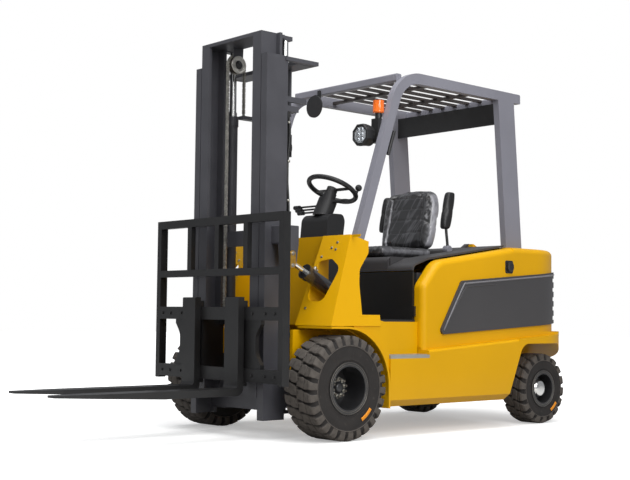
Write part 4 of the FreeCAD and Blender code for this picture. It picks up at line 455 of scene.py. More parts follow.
def bolts(name, where, normal, across, high, body, look):
    """Hexagon bolts at these points, all facing one way."""
    axis, u, v = basis(normal)
    points, faces = hexagon_bolt(across, high, across * 0.72)
    piece = copies(name, points, faces, [[spot, u, v, axis] for spot in where])
    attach(paint(piece, look), body)


def tube(name, path, radius, body, look, sides=16):
    """A round section carried along the path's points, its ends closed. Each ring stands
    across the mean direction of the two runs that meet there."""
    path = np.asarray(path, float)
    along = np.gradient(path, axis=0)
    along /= np.linalg.norm(along, axis=1)[:, None]
    _, u, _ = basis(along[0])
    sides_angle = np.arange(sides) * 2 * np.pi / sides
    rings = []
    for spot, direction in zip(path, along):
        u = u - direction * np.dot(u, direction)
        u /= np.linalg.norm(u)
        v = np.cross(direction, u)
        rings.append(spot + radius * (np.cos(sides_angle)[:, None] * u
                                      + np.sin(sides_angle)[:, None] * v))
    faces = grid_faces(len(path), sides, wrap_columns=True).tolist()
    faces.append(list(range(sides)))
    faces.append(list(range((len(path) - 1) * sides, len(path) * sides)))
    piece = outward(mesh_piece(name, np.concatenate(rings), faces))
    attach(paint(piece, look), body)


def smooth_path(points, count):
    """A soft line through a few points: a Catmull-Rom spline, whose run between two points
    leaves each along the line joining that point's neighbours."""
    p = np.asarray(points, float)
    p = np.vstack([2 * p[0] - p[1], p, 2 * p[-1] - p[-2]])
    t = np.linspace(0, len(points) - 1 - 1e-9, count)
    k = t.astype(int)
    f = (t - k)[:, None]
    a, b, c, d = p[k], p[k + 1], p[k + 2], p[k + 3]
    return 0.5 * (2 * b + (c - a) * f + (2 * a - 5 * b + 4 * c - d) * f ** 2
                  + (3 * b - a - 3 * c + d) * f ** 3)


def soft_step(value):
    """0 below 0, 1 above 1, and 3 v^2 - 2 v^3 between."""
    value = np.clip(value, 0, 1)
    return value * value * (3 - 2 * value)


# %% [markdown]
# The tyres. A tyre is one closed surface with two parameters: the angle round the axle, and
# the way along its section from bead over tread to bead and back through the bore. Two
# sections are kept, one at the foot of the grooves and one over the lugs, and a lug map
# with soft edges says how far each point moves from the first to the second.

# %% Tyres
# Each axle's wheels: x, y and z of the middle in millimetres, then in metres the radius, half
# the width and the bore's radius, and the number of lugs on each half.
WHEELS = {"front": (548, 0, 287, 0.287, 0.1125, 0.127, 26),
          "rear": (511, 1780, 224, 0.224, 0.085, 0.101, 18)}
ALONG = 40  # points across the tread between the two shoulders, with both ends


def make_tyre(node, body, x, y, z, radius, half, rim, count):
    """The lug map repeats count times round each half. With s running from 0 at the middle
    to 1 at the shoulder and v the way round the tread in pitches, a lug's centre line is
    v = 0.14 - 0.40 s^1.4 and its half width 0.455 - 0.135 s^2, so that the groove beside it
    opens from a slit to a notch. The other half is the mirror image, half a pitch on."""
    bead, core = half - 0.008, radius - 0.017
    foot = np.array([(bead, rim), (bead, rim + 0.019), (half - 0.006, rim + 0.026),
                     (half - 0.004, rim + 0.028), (half - 0.005, rim + 0.031),
                     (half - 0.002, radius * 0.72), (half - 0.003, radius * 0.79),
                     (half + 0.001, radius * 0.805), (half - 0.003, radius * 0.82),
                     (half - 0.006, radius * 0.86), (bead - 0.004, core - 0.012),
                     (bead - 0.012, core - 0.003), (bead - 0.028, core)])
    over = foot.copy()
    over[8:] = [(half, radius * 0.82), (half, radius * 0.865), (half - 0.001, radius - 0.022),
                (half - 0.007, radius - 0.006), (half - 0.024, radius)]
    fine = np.linspace(0, len(foot) - 1, (len(foot) - 1) * 3 + 1)
    low = np.stack([np.interp(fine, np.arange(len(foot)), foot[:, k]) for k in (0, 1)], 1)
    high = np.stack([np.interp(fine, np.arange(len(foot)), over[:, k]) for k in (0, 1)], 1)
    tread = np.linspace(low[-1, 0], -low[-1, 0], ALONG)[1:-1]
    crown = 1 - 0.004 * (tread / half) ** 2
    low = np.vstack([low, np.stack([tread, np.full(ALONG - 2, core)], 1),
                     low[::-1] * [-1, 1]])
    high = np.vstack([high, np.stack([tread * high[-1, 0] / tread[0], radius * crown], 1),
                      high[::-1] * [-1, 1]])
    columns = count * 26
    angle = (np.arange(columns) / columns) * 2 * np.pi
    pitch = 2 * np.pi / count
    step = pitch * radius
    along = high[:, 0][:, None]
    lug = np.zeros((len(low), columns))
    for hand, start in ((1, 0.0), (-1, np.pi / 2)):
        turn = (angle - start + pitch / 2) % pitch - pitch / 2
        v = hand * radius * turn[None, :]
        x_in = hand * along
        share = np.clip(x_in / half, 0, 1)
        centre_line = step * (0.14 - 0.40 * share ** 1.4) + 0.0025 * np.sin(share * 9)
        half_wide = step * (0.455 - 0.135 * share ** 2)
        inside = np.minimum(half_wide - np.abs(v - centre_line), x_in + 0.003)
        block = soft_step(inside / 0.0035 + 0.5)
        sipe = soft_step(np.abs(x_in - half * 0.52 - 0.10 * v) / 0.003 - 0.3)
        lug = np.maximum(lug, block * (0.66 + 0.34 * sipe))
    zigzag = along - 0.007 * np.sin(angle * count)[None, :]
    lug *= 1 - 0.7 * (1 - soft_step(np.abs(zigzag) / 0.0022 - 0.2))
    lug[np.abs(low - high).sum(axis=1) < 1e-9] = 0
    section = low[:, None, :] + lug[:, :, None] * (high - low)[:, None, :]
    points = np.stack([x + section[:, :, 0], y + section[:, :, 1] * np.sin(angle),
                       z + section[:, :, 1] * np.cos(angle)], axis=-1).reshape(-1, 3)
    piece = mesh_piece("tread_" + node, points,
                       grid_faces(len(low), columns, wrap_rows=True, wrap_columns=True))
    # The "worn" value: low on the dusty tops of the lugs, up to 1 in the grooves, which are
    # painted dark as their shade, 0.95 on the sidewalls, and near 0 on the sidewall rib, a
    # painted highlight.
    on_tread = (np.abs(low[:, 1] - core) < 0.035)[:, None]
    shade = np.where(on_tread, 1.0 - 0.72 * lug, 0.95)
    rib_painted_highlight = 0.9 * (np.abs(low[:, 1] - radius * 0.805) < 0.002)[:, None]
    worn = piece.data.attributes.new("worn", "FLOAT", "POINT")
    worn.data.foreach_set("value", np.clip(shade - rib_painted_highlight, 0, 1).astype(np.float32).ravel())
    outward(piece, merge=None)
    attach(paint(piece, tread_rubber), body)
    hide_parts(node)
    return piece


for word, side in SIDES:
    for axle, (x, y, z, *sizes) in WHEELS.items():
        made = make_tyre(f"tyre_{axle}_{word}", f"{axle}_wheel_{word}",
                         *place(x * side, y, z), *sizes)
        print("tyre faces", len(made.data.polygons))

# %% [markdown]
# Wheel nuts stand in a ring on each disc, with the stud's end showing, and a domed cap
# closes each hub. The rear caps are chromed and the front ones painted.

# %% Wheel nuts and hub caps
def wheel_dress(word, side, axle, disc, ring, count, nut, hub, cap, cap_look):
    """Nuts at angle 2 pi k / count on the ring's radius, at the disc's outer face, a cap whose
    radius is the cap's share of 58 mm, and two thin bright steel rings on the rim's flange, a
    painted highlight of its edges."""
    body = f"{axle}_wheel_{word}"
    x, y, z = place(WHEELS[axle][0] * side, *WHEELS[axle][1:3])
    angle = np.arange(count) * 2 * np.pi / count + 0.2
    face = x + side * disc
    where = np.stack([np.full(count, face), y + ring * np.cos(angle),
                      z + ring * np.sin(angle)], 1)
    bolts(f"nuts_{axle}_{word}", where, (side, 0, 0), nut, nut * 0.66, body, zinc)
    studs = copies(f"studs_{axle}_{word}", *stud, [
        [spot + np.array([side * nut * 0.6, 0, 0]), (0, 1, 0), (0, 0, 1), (side, 0, 0)]
        for spot in where])
    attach(paint(studs, oiled_steel), body)
    start = x + side * hub
    dome = np.array([(0, 0.0), (0, 0.058), (0.003, 0.058), (0.005, 0.052), (0.012, 0.050),
                     (0.016, 0.044), (0.0185, 0.030), (0.019, 0.012), (0.019, 0.0)])
    cover = lathe(f"cap_{axle}_{word}", dome * [1, cap], (start, y, z), (side, 0, 0))
    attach(paint(cover, cap_look), body)
    flange_low, flange_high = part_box(f"rim_{axle}_{word}")
    flange = flange_high[0] if side > 0 else flange_low[0]
    outer = (flange_high[2] - flange_low[2]) / 2
    turn = np.arange(17) * np.pi / 8
    # Painted highlight: two thin bright steel rings stand in for the light along the glossy
    # black flange's edges.
    for number, inset in enumerate((0.0035, 0.0145)):
        edge = lathe(f"rim_edge_{axle}_{word}_{number}", np.stack([
            0.0016 * np.sin(turn), outer - inset + 0.0016 * np.cos(turn)], 1),
            (flange - side * 0.0008, y, z), (side, 0, 0), sides=96)
        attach(paint(edge, oiled_steel), body)


ring_of = np.arange(12) * np.pi / 6
stud = (np.concatenate([np.stack([r * np.cos(ring_of), r * np.sin(ring_of),
                                  np.full(12, h)], 1)
                        for r, h in ((0.007, 0.0), (0.007, 0.008), (0.0055, 0.0095))]),
        grid_faces(3, 12, wrap_columns=True).tolist() + [list(range(24, 36)),
                                                         list(range(12))])
for word, side in SIDES:
    wheel_dress(word, side, "front", 0.0202, 0.047, 10, 0.016, 0.0202, 0.55, rim_paint)
    wheel_dress(word, side, "rear", -0.016, 0.076, 6, 0.020, 0.0482, 1.0, chrome)

# %% [markdown]
# A blank paper label sits on each near tyre's sidewall: a thin patch bent along the
# sidewall's circle.

# %% Tyre labels
for axle, radius, face in (("front", 0.185, 113.2), ("rear", 0.148, 85.6)):
    x, y, z = WHEELS[axle][:3]
    spot = place(x + face, y, z)
    angle = np.linspace(math.radians(-62), math.radians(-36), 14)
    across = np.linspace(radius, radius + 0.020, 4)
    a, r = np.meshgrid(angle, across, indexing="ij")
    patch = np.stack([np.full(a.shape, spot[0]), spot[1] + r * np.cos(a),
                      spot[2] + r * np.sin(a)], -1).reshape(-1, 3)
    label = mesh_piece(f"label_{axle}", patch, grid_faces(14, 4))
    thicken(label, 0.0006, -1)
    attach(paint(label, label_ink), f"{axle}_wheel_left")

# %% [markdown]
# Seat upholstery. Cushion and back start as closed boxes a little smaller than their places,
# swell under pressure in a short cloth run with the far movement capped, and then get their sewn
# channels pressed in. The truck is new, so a clear film still covers the vinyl: it gives the
# gloss, and long diagonal creases in it catch the light. The creases and the pads' sideways
# faces are also painted paler: painted highlight of the film's reflections.

# %% Swollen cushions
CLOTH_FRAMES, CLOTH_PRESSURE = 18, 4.0


def soft_block(name, low, high, bend=None, divide=0.0065, cap=0.014):
    """A closed box between two corners, remeshed, bent by a function of its points, swollen
    by cloth pressure, and no point moved further than the cap."""
    x, y, z = (np.array([low[k], high[k]]) for k in range(3))
    corners = np.array([[a, b, c] for a in x for b in y for c in z])
    box_faces = [(0, 1, 3, 2), (4, 6, 7, 5), (0, 4, 5, 1), (2, 3, 7, 6), (0, 2, 6, 4),
                 (1, 5, 7, 3)]
    piece = outward(mesh_piece(name, corners, box_faces))
    bevel = piece.modifiers.new("soft_edges", "BEVEL")
    bevel.width, bevel.segments = min(np.array(high) - np.array(low)) * 0.36, 4
    remesh = piece.modifiers.new("voxels", "REMESH")
    remesh.mode, remesh.voxel_size = "VOXEL", divide
    freeze(piece)
    start = read(piece.data.vertices, "co", np.float32)
    if bend is not None:
        start = bend(start.astype(float)).astype(np.float32)
        piece.data.vertices.foreach_set("co", start.ravel())
    cloth = piece.modifiers.new("swell", "CLOTH")
    cloth.settings.use_pressure = True
    cloth.settings.uniform_pressure_force = CLOTH_PRESSURE
    cloth.settings.effector_weights.gravity = 0
    cloth.settings.quality = 4
    cloth.point_cache.frame_end = CLOTH_FRAMES
    for number in range(1, CLOTH_FRAMES + 1):
        bpy.context.scene.frame_set(number)
    freeze(piece)
    move = read(piece.data.vertices, "co", np.float32) - start
    length = np.linalg.norm(move, axis=1)[:, None]
    move *= np.minimum(1, cap / np.maximum(length, 1e-9))
    piece.data.vertices.foreach_set("co", (start + move).ravel())
    bpy.context.scene.frame_set(1)
    piece.data.polygons.foreach_set("use_smooth", np.full(len(piece.data.polygons), True))
    return piece


def freeze(piece):
    """Apply every modifier by taking the evaluated mesh."""
    graph = bpy.context.evaluated_depsgraph_get()
    mesh = bpy.data.meshes.new_from_object(piece.evaluated_get(graph))
    piece.modifiers.clear()
    piece.data = mesh


def press(piece, depth_of):
    """Move every point inwards along its normal by depth_of(points)."""
    mesh = piece.data
    spots = read(mesh.vertices, "co")
    spots -= read(mesh.vertex_normals, "vector") * depth_of(spots)[:, None]
    mesh.vertices.foreach_set("co", spots.ravel())
    mesh.update()


def groove(distance, wide, deep):
    """A sewn channel: deep at distance 0, gone at the width, exp(-(d / w)^2) between."""
    return deep * np.exp(-(distance / wide) ** 2)


def film_vinyl():
    """Black vinyl under clear film: a glossy coat whose long creases are stretched noise, and
    whose creases are painted paler as highlights of the film.
    """
    look = finish("vinyl_under_film", (0.105, 0.105, 0.11), 0.45, blotch=0.15,
                  blotch_scale=8, grain=0.25, grain_scale=700, coat=0.9)
    tree = look.node_tree
    shader = tree.nodes["Principled BSDF"]
    turned = add_node(tree, "Mapping", {
        "Rotation": (0, math.radians(-58), 0), "Scale": (12.0, 1.0, 1.0),
        "Vector": add_node(tree, "TexCoord").outputs["Object"]}, vector_type="TEXTURE")
    creases = add_node(tree, "TexNoise", {"Scale": 17, "Detail": 2, "Distortion": 0.15,
                                          "Vector": turned.outputs[0]})
    sharp = add_node(tree, "ValToRGB", {"Fac": creases.outputs["Fac"]})
    stops = sharp.color_ramp.elements
    stops[0].position = 0.46
    stops[1].position = 0.56
    stops.new(0.51).color = (1, 1, 1, 1)
    stops[2].color = (0, 0, 0, 1)
    bump = add_node(tree, "Bump", {"Strength": 0.6, "Distance": 0.004,
                                   "Height": sharp.outputs["Color"]})
    # Painted highlight: the creases, and the pads' sideways faces, are mixed towards pale grey
    # in the base colour, for the film's reflections.
    side_painted_highlight = add_node(tree, "Attribute", attribute_name="side_painted_highlight")
    side_highlight_streaks = calculate(tree, "MULTIPLY", side_painted_highlight.outputs["Fac"], creases.outputs["Fac"])
    painted_film_highlight = calculate(tree, "MULTIPLY_ADD", sharp.outputs["Color"], 0.09, side_highlight_streaks)
    feed(tree, shader, {
        "Coat Normal": bump.outputs["Normal"], "Coat Roughness": 0.14,
        "Base Color": mix_colours(tree, painted_film_highlight,
                                  shader.inputs["Base Color"].links[0].from_socket,
                                  srgb(0.80, 0.80, 0.83))})
    return look


def paint_side_highlight(piece, strength):
    """A painted highlight where the pad turns sideways: a value per point that rises with the
    sideways part of its normal, and makes the film's colour paler there."""
    mesh = piece.data
    sideways = np.abs(read(mesh.vertex_normals, "vector")[:, 0])
    value = strength * soft_step((sideways - 0.55) / 0.4)
    layer = mesh.attributes.new("side_painted_highlight", "FLOAT", "POINT")
    layer.data.foreach_set("value", value.astype(np.float32))


seat_look = film_vinyl()
low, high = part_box("seat_cushion")
inset = np.array([0.010, 0.008, 0.006])
cushion = soft_block("seat_pad", np.array(low) + inset, np.array(high) - inset)
SEAM_X = 0.150


def cushion_seams(p):
    """Two lengthwise channels at x = +-SEAM_X and three across, on the top only."""
    on_top = soft_step((p[:, 2] - (high[2] - 0.022)) / 0.012)
    across = sum(groove(p[:, 1] - (low[1] + s), 0.005, 0.007) for s in (0.12, 0.23, 0.34))
    inner = soft_step((SEAM_X - np.abs(p[:, 0])) / 0.01)
    return on_top * (groove(np.abs(p[:, 0]) - SEAM_X, 0.006, 0.009) + across * inner)


press(cushion, cushion_seams)
paint_side_highlight(cushion, 0.3)
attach(paint(cushion, seat_look), "seat_hood")
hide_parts("seat_cushion")

back_low, back_high = (np.array(c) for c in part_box("seat_back"))


def lean_back(p):
    """Round the block's outline in the front view, shear it rearwards as it rises, and cup
    it so that its sides reach further forward. With u across and w up, both -1 ... 1, u is
    scaled by 1 - k |w|^3 and w by 1 - k |u|^3, k being larger for the upper corners."""
    u = p[:, 0] / back_high[0]
    w = (p[:, 2] - BACK_MIDDLE) / BACK_HALF
    k = np.where(w > 0, 0.20, 0.12)
    p[:, 0] *= 1 - k * np.abs(w) ** 3
    p[:, 2] = BACK_MIDDLE + BACK_HALF * w * (1 - 0.7 * k * np.abs(u) ** 3)
    p[:, 1] += (w + 1) / 2 * 0.066 - 0.026 * soft_step((np.abs(u) - 0.50) / 0.45)
    return p


BACK_FOOT, BACK_TOP, BACK_FRONT, BACK_DEEP = 1.098, 1.508, back_low[1] - 0.038, 0.088
BACK_MIDDLE, BACK_HALF = (BACK_TOP + BACK_FOOT) / 2, (BACK_TOP - BACK_FOOT) / 2
backrest_pad = soft_block("seat_back_pad",
                          (back_low[0] + 0.006, BACK_FRONT, BACK_FOOT),
                          (back_high[0] - 0.006, BACK_FRONT + BACK_DEEP, BACK_TOP),
                          bend=lean_back)


def back_seams(p):
    """A channel round the middle panel, and one across it under the head bolster."""
    rise = (p[:, 2] - BACK_FOOT) / (BACK_TOP - BACK_FOOT)
    front = soft_step(((BACK_FRONT + 0.045 + rise * 0.066) - p[:, 1]) / 0.01)
    half = np.abs(p[:, 0])
    frame_seam = groove(half - (0.150 - 0.02 * rise), 0.007, 0.010) * (rise < 0.86)
    head = groove(rise - 0.86, 0.014, 0.010) * (half < 0.150)
    bars = sum(groove(rise - s, 0.011, 0.006) for s in (0.30, 0.50, 0.68)) * (half < 0.140)
    return front * (frame_seam + head + bars)


press(backrest_pad, back_seams)
paint_side_highlight(backrest_pad, 0.9)
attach(paint(backrest_pad, seat_look), "seat_hood")
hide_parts("seat_back")

# %% [markdown]
# Armrests. Each is a soft pad, folded up beside the back, on a thin arm that turns on a
# round grey pivot at the seat's side. The pads swell like the cushions.

# %% Armrests
for word, side in SIDES:
    foot, head = place(276 * side, 1184, 1236), place(276 * side, 1232, 1476)

    def lean_arm(p, foot=foot, head=head):
        """Round the pad's ends and shear it rearwards as it rises, foot to head."""
        rise = (p[:, 2] - foot[2]) / (head[2] - foot[2])
        p[:, 1] = foot[1] + (p[:, 1] - foot[1]) * (1 - 0.34 * np.abs(2 * rise - 1) ** 3)
        p[:, 1] += rise * (head[1] - foot[1])
        return p

    pad = soft_block(f"armrest_pad_{word}", foot - [0.023, 0.040, 0.0],
                     (foot[0] + 0.023, foot[1] + 0.040, head[2]), bend=lean_arm,
                     divide=0.005, cap=0.006)
    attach(paint(pad, vinyl), "seat_hood")
    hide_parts("armrests")
    tube(f"armrest_arm_{word}", smooth_path([
        place(276 * side, 1212, 1112), place(276 * side, 1206, 1160),
        place(276 * side, 1198, 1215), place(276 * side, 1194, 1262)], 16), 0.009,
        "seat_hood", black_paint)
    pivot = lathe(f"armrest_pivot_{word}", [(0, 0.0), (0, 0.022), (0.003, 0.0248),
                                            (0.041, 0.0248), (0.043, 0.0228), (0.043, 0.0)],
                  place(250 * side, 1212, 1108), (side, 0, 0), sides=48, smooth=False)
    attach(paint(pivot, guard_paint), "seat_hood")

# %% [markdown]
# The lift chains are leaf chains: thin eight-shaped plates, laced four and three by turns,
# on pins. One plate's outline is repeated up each strand and over its pulley, where every
# plate turns with the arc.

# %% Leaf chains and pulleys
PITCH = 0.015875
turn_of = np.linspace(-np.pi / 2, np.pi / 2, 6)
half_outline = np.stack([0.0058 * np.sin(turn_of),
                         PITCH / 2 + 0.0058 * np.cos(turn_of)], 1)
outline = np.vstack([half_outline, [[0.0040, 0]], -half_outline, [[-0.0040, 0]]])
sides_of = len(outline)
plate = np.vstack([np.column_stack([np.full(sides_of, x), outline]) for x in (-0.0013, 0.0013)])
plate_faces = grid_faces(2, sides_of, wrap_columns=True).tolist()
plate_faces += [list(range(sides_of)), list(range(sides_of, 2 * sides_of))]
pin_angle = np.arange(10) * 2 * np.pi / 10
pin = np.vstack([np.column_stack([np.full(10, x), 0.0027 * np.cos(pin_angle),
                                  0.0027 * np.sin(pin_angle)]) for x in (-0.0118, 0.0118)])
pin_faces = grid_faces(2, 10, wrap_columns=True).tolist() + [list(range(10)),
                                                             list(range(10, 20))]


def leaf_chain(name, x, line, body, replaced):
    """Plates between points spaced one pitch along the line (y, z), and a pin at each."""
    middle = (line[1:] + line[:-1]) / 2
    along = (line[1:] - line[:-1]) / np.linalg.norm(line[1:] - line[:-1], axis=1)[:, None]
    across = np.stack([along[:, 1], -along[:, 0]], 1)
    frames = []
    for number, (spot, up, out) in enumerate(zip(middle, along, across)):
        for offset in ((-0.0090, -0.0030, 0.0030, 0.0090) if number % 2 else
                       (-0.0060, 0.0, 0.0060)):
            frames.append([(x + offset, *spot), (1, 0, 0), (0, *out), (0, *up)])
    plates = copies("plates_" + name, plate, plate_faces, frames)
    pins = copies("pins_" + name, pin, pin_faces,
                  [[(x, *spot), (1, 0, 0), (0, 1, 0), (0, 0, 1)] for spot in line])
    for piece, look in ((plates, bright_steel), (pins, oiled_steel)):
        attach(paint(piece, look), body)
        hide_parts(replaced)


front_foot, rear_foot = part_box("chains_front")[0][2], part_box("chains_rear")[0][2]
centre = place(0, -200, 2144)
REACH = 0.060
for word, side in SIDES:
    up = np.arange(front_foot + 0.004, centre[2], PITCH)
    first = np.stack([np.full(len(up), centre[1] - REACH), up], 1)
    arc = np.arange(0.02, np.pi, PITCH / REACH)
    over = np.stack([centre[1] - REACH * np.cos(arc), centre[2] + REACH * np.sin(arc)], 1)
    leaf_chain(f"front_{word}", 0.126 * side, np.vstack([first, over]), "mast_stage_inner",
               "chains_front")
    up = np.arange(rear_foot + 0.004, centre[2] - 0.002, PITCH)
    leaf_chain(f"rear_{word}", 0.126 * side,
               np.stack([np.full(len(up), centre[1] + REACH), up], 1), "mast_stage_outer",
               "chains_rear")
    # The bracket's cheek that faces +x is at x 140 on the left and at -102 on the right.
    cheek = place(140.2 if side > 0 else -101.8, -200, 2144)
    face = lathe(f"pulley_face_{word}", [
        (0.0, 0.0260), (0.0, 0.0530), (0.0035, 0.0530), (0.0045, 0.0505), (0.0045, 0.0440),
        (0.0020, 0.0415), (0.0020, 0.0300), (0.0035, 0.0280), (0.0035, 0.0260),
        (0.0, 0.0260)], cheek, (1, 0, 0))
    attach(paint(face, bright_steel), "mast_stage_inner")
    boss = lathe(f"pulley_boss_{word}", [
        (0.0, 0.0), (0.0, 0.0240), (0.0040, 0.0240), (0.0060, 0.0215), (0.0060, 0.0120),
        (0.0100, 0.0105), (0.0100, 0.0)], cheek, (1, 0, 0))
    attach(paint(boss, black_paint), "mast_stage_inner")
print("chain plates in place, front strand", len(first), "pitches")

# %% [markdown]
# Two hydraulic hoses run down behind the near outer rail in clips. Each tilt cylinder has two
# ports, and a short pipe at the lower one.

# %% Hoses and clips
for number, x in enumerate((316, 300)):
    run = smooth_path([place(x, -172 + 6 * number, 1838), place(x + 4, -158, 1700),
                       place(x - 2, -170, 1480), place(x + 3, -160, 1260),
                       place(x - 3, -169, 1040), place(x, -160, 820),
                       place(x - 16, -150, 640), place(x - 20, -120, 560)], 90)
    tube(f"mast_hose_{number}", run, 0.0075, "mast_stage_outer", hose_rubber)
for number, z in enumerate((1760, 1540, 1320, 1100, 880)):
    clip = lathe(f"hose_clip_{number}", [(-0.006, 0.0078), (-0.006, 0.0102),
                                         (0.006, 0.0102), (0.006, 0.0078),
                                         (-0.006, 0.0078)],
                 place(317, -164, z), (0, 0, 1), sides=24)
    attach(paint(clip, zinc), "mast_stage_outer")
for word, side in SIDES:
    for number, share in enumerate((0.16, 0.62)):
        start = np.array([0.226, 0.750]) + share * np.array([-0.462, 0.234])
        away = np.array([0.234, 0.462]) / 0.518
        spots = [start + away * 0.036, start + away * 0.060,
                 start + away * 0.066 + np.array([0.05, -0.012])]
        tube(f"tilt_port_{word}_{number}",
             [place(410 * side, *(s * 1000)) for s in spots[:2]], 0.010,
             f"tilt_barrel_{word}", zinc)
        if number == 0:
            tube(f"tilt_pipe_{word}", smooth_path(
                [place(410 * side, *(s * 1000)) for s in spots], 14), 0.006,
                f"tilt_barrel_{word}", hose_rubber)

# %% [markdown]
# Pins of the tilt cylinders are held by gold-passivated keeper plates with two bolts each, zinc
# bolts hold the cowl, and black bolts the carriage's side plates.

# %% Keeper plates and bolts
COWL_RUN = (90 + 117) / (1133 - 624)


def rounded_plate(name, centre, wide, tall, thick, corner, body, look):
    """A plate in the YZ plane with round corners, its bevelled face towards the x sign."""
    side = 1 if centre[0] > 0 else -1
    angle = np.linspace(0, 2 * np.pi, 32, endpoint=False) + np.pi / 32
    circle = np.stack([np.cos(angle), np.sin(angle)], 1)
    rings = []
    for depth, inset in ((0, 0), (thick * 0.75, 0), (thick, thick * 0.5)):
        yz = (np.sign(circle) * [wide / 2 - corner, tall / 2 - corner]
              + (corner - inset) * circle)
        rings.append(np.column_stack([np.full(32, centre[0] + side * depth), centre[1:] + yz]))
    rings.append(np.tile([centre[0] + side * thick, centre[1], centre[2]], (32, 1)))
    faces = grid_faces(4, 32, wrap_columns=True).tolist() + [list(range(32))]
    piece = outward(mesh_piece(name, np.concatenate(rings), faces, smooth=False))
    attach(paint(piece, look), body)


for word, side in SIDES:
    face_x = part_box("outer_mast")[1][0] * 1000
    rounded_plate(f"keeper_{word}", place(face_x * side, -236, 984), 0.044, 0.096, 0.005,
                  0.021, "mast_stage_outer", brass)
    bolts(f"keeper_bolts_{word}", [place((face_x + 5) * side, -236, 984 + s)
                                   for s in (-32, 32)], (side, 0, 0), 0.016, 0.009,
          "mast_stage_outer", zinc)
    lean = np.array([0, -1.0, COWL_RUN])
    bolts(f"cowl_bolts_{word}", [
        place(x * side, -117 + (z - 624) * COWL_RUN, z) for x, z in (
            (378, 1010), (378, 930), (378, 850), (378, 720), (440, 1060), (475, 1090),
            (478, 1050))], lean, 0.012, 0.005, "chassis", zinc)
    bolts(f"carriage_bolts_{word}", [place(x * side, -418, z) for x, z in (
        (330, 352), (520, 352), (330, 686), (520, 686), (440, 352), (440, 686))],
        (0, -1, 0), 0.014, 0.007, "fork_carriage", fork_paint)

# %% [markdown]
# The headlamps have eight-sided housings, with six small domed optics in two columns on a
# pale reflector.

# %% Headlamps, mirror and latch
rim_r = 0.068
ring = np.arange(20) * 2 * np.pi / 20
optic = np.concatenate([np.column_stack([
    0.0125 * np.cos(h) * np.cos(ring), 0.0125 * np.cos(h) * np.sin(ring),
    np.full(20, 0.006 * np.sin(h))]) for h in np.linspace(0, np.pi / 2 - 0.05, 6)])
for word, side in SIDES:
    front = place(379 * side, 336, 1738)
    housing = lathe(f"lamp_housing_{word}", [
        (-0.060, 0.0), (-0.060, 0.050), (-0.058, rim_r - 0.006), (-0.020, rim_r), (0.006, rim_r),
        (0.009, rim_r - 0.004), (0.009, rim_r - 0.013), (0.002, rim_r - 0.015),
        (0.002, 0.0)], front, (0, -1, 0), sides=8, smooth=False, phase=math.pi / 8)
    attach(paint(housing, black_plastic), "chassis")
    panel = lathe(f"lamp_reflector_{word}", [(0.0022, 0.0), (0.0022, 0.0505),
                                            (0.0040, 0.0505), (0.0040, 0.0)],
                  front, (0, -1, 0), sides=8, smooth=False, phase=math.pi / 8)
    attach(paint(panel, lamp_glass), "chassis")
    cells = copies(f"lamp_optics_{word}", optic,
                   grid_faces(6, 20, wrap_columns=True).tolist() + [list(range(100, 120)),
                                                                   list(range(20))],
                   [[front + [dx, -0.0045, dz], (1, 0, 0), (0, 0, 1), (0, -1, 0)]
                    for dx in (-0.016, 0.016) for dz in (-0.029, 0, 0.029)], smooth=True)
    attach(paint(cells, mirror_glass), "chassis")
    dome = lathe(f"turn_lens_{word}", [
        (-0.001, 0.0), (-0.001, 0.0335), (0.010, 0.0345), (0.012, 0.0335), (0.052, 0.0335),
        (0.064, 0.030), (0.072, 0.021), (0.0755, 0.010), (0.0765, 0.0)],
        place((460 - 33 - 0.3) * side, 434, 1872), (0, 0, 1), sides=48)
    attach(paint(dome, orange_lens), "chassis")
glass = lathe("mirror_glass", [(0, 0.0), (0, 0.064), (0.002, 0.066), (0.0035, 0.062),
                               (0.005, 0.030), (0.0055, 0.0)],
              place(-216, 505, 1999), (0, 1, 0))
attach(paint(glass, mirror_glass), "chassis")
for word, side in SIDES:
    rounded_plate(f"latch_plate_{word}", place(594 * side, 1432, 996), 0.074, 0.080, 0.004,
                  0.012, "chassis", black_plastic)
    rounded_plate(f"latch_{word}", place(598 * side, 1432, 996), 0.056, 0.060, 0.018, 0.024,
                  "chassis", black_plastic)

# %% [markdown]
# The dark side mouldings have a raised rim that follows their outline, coloured paler as a
# painted highlight, a pressed crease in the shape of a lying L, and a near-black sheet of
# painted shade behind the vent slots at their rear ends.

# %% Side moulding relief with its painted highlight, and painted shade behind the vents
# In plan the body's side is flat up to BEND_Y and then an arc about (BEND_X, BEND_Y).
BEND_X, BEND_Y = 169, 1725


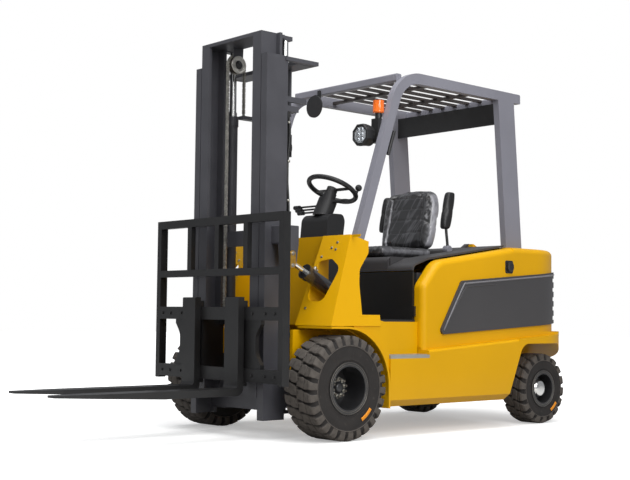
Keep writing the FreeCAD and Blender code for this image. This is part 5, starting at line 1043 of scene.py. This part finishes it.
def ridge(name, corners, radius, look, side):
    """A half-round ridge along a line of (y, z) corners on the moulding's face, whose arc has
    a radius of 439 and which the ridge sinks into."""
    y, z = np.array(corners, float).T
    turn = np.arcsin(np.clip(y - BEND_Y, 0, 438) / 439)
    spots = [place(*spot) for spot in zip((BEND_X + 437.7 * np.cos(turn)) * side, y, z)]
    tube(name, smooth_path(spots, 60), radius, "chassis", look, sides=12)


for word, side in SIDES:
    ridge(f"crease_{word}", [(862, 672), (888, 704), (990, 836), (1016, 858), (1052, 866),
                             (1290, 884)], 0.0052, panel_plastic, side)
    # The rim along the moulding's outline is coloured paler: painted highlight.
    ridge(f"moulding_edge_painted_highlight_{word}", [(812, 600), (905, 744), (990, 872), (1012, 881)] + [
        (y, 881 + 0.0842 * (y - 996.5)) for y in range(1060, 2030, 46)], 0.0055,
          moulding_painted_highlight, side)
    # Painted shade: a near-black sheet behind the vent slots, along the body's curved rear.
    straight = np.array([[595.5, 1700 + s * 25] for s in np.linspace(0, 1, 4)])
    arc_a = np.linspace(0, np.radians(49.0), 24)
    curve = np.stack([BEND_X + 426.5 * np.cos(arc_a), BEND_Y + 426.5 * np.sin(arc_a)], 1)
    plan = np.vstack([straight, curve])
    skin = np.array([[place(x * side, y, z) for x, y in plan]
                     for z in (655.0, 948.0)]).reshape(-1, 3)
    shade_piece = mesh_piece(f"vent_painted_shade_sheet_{word}", skin, grid_faces(2, len(plan)))
    thicken(shade_piece, 0.0015, 0)
    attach(paint(shade_piece, vent_shade_finish), "chassis")

# %% [markdown]
# The step treads are ribbed aluminium: ridges run along the step, h = |sin| of the way
# across it.

# %% Step treads
for word, side in SIDES:
    x = np.linspace(549, 632, 60)
    y = np.linspace(342, 648, 40)
    xx, yy = np.meshgrid(x, y, indexing="ij")
    zz = 459.2 + 2.6 * np.abs(np.sin((xx - 549) / 83 * np.pi * 7)) * soft_step(
        (np.minimum(yy - 342, 648 - yy)) / 8)
    upper = np.stack([xx * side, yy, zz], -1).reshape(-1, 3)
    mat = mesh_piece(f"step_tread_{word}", np.array([place(*spot) for spot in upper]),
                     grid_faces(60, 40))
    thicken(mat, 0.001, 0)
    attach(paint(mat, tread_aluminium), "chassis")
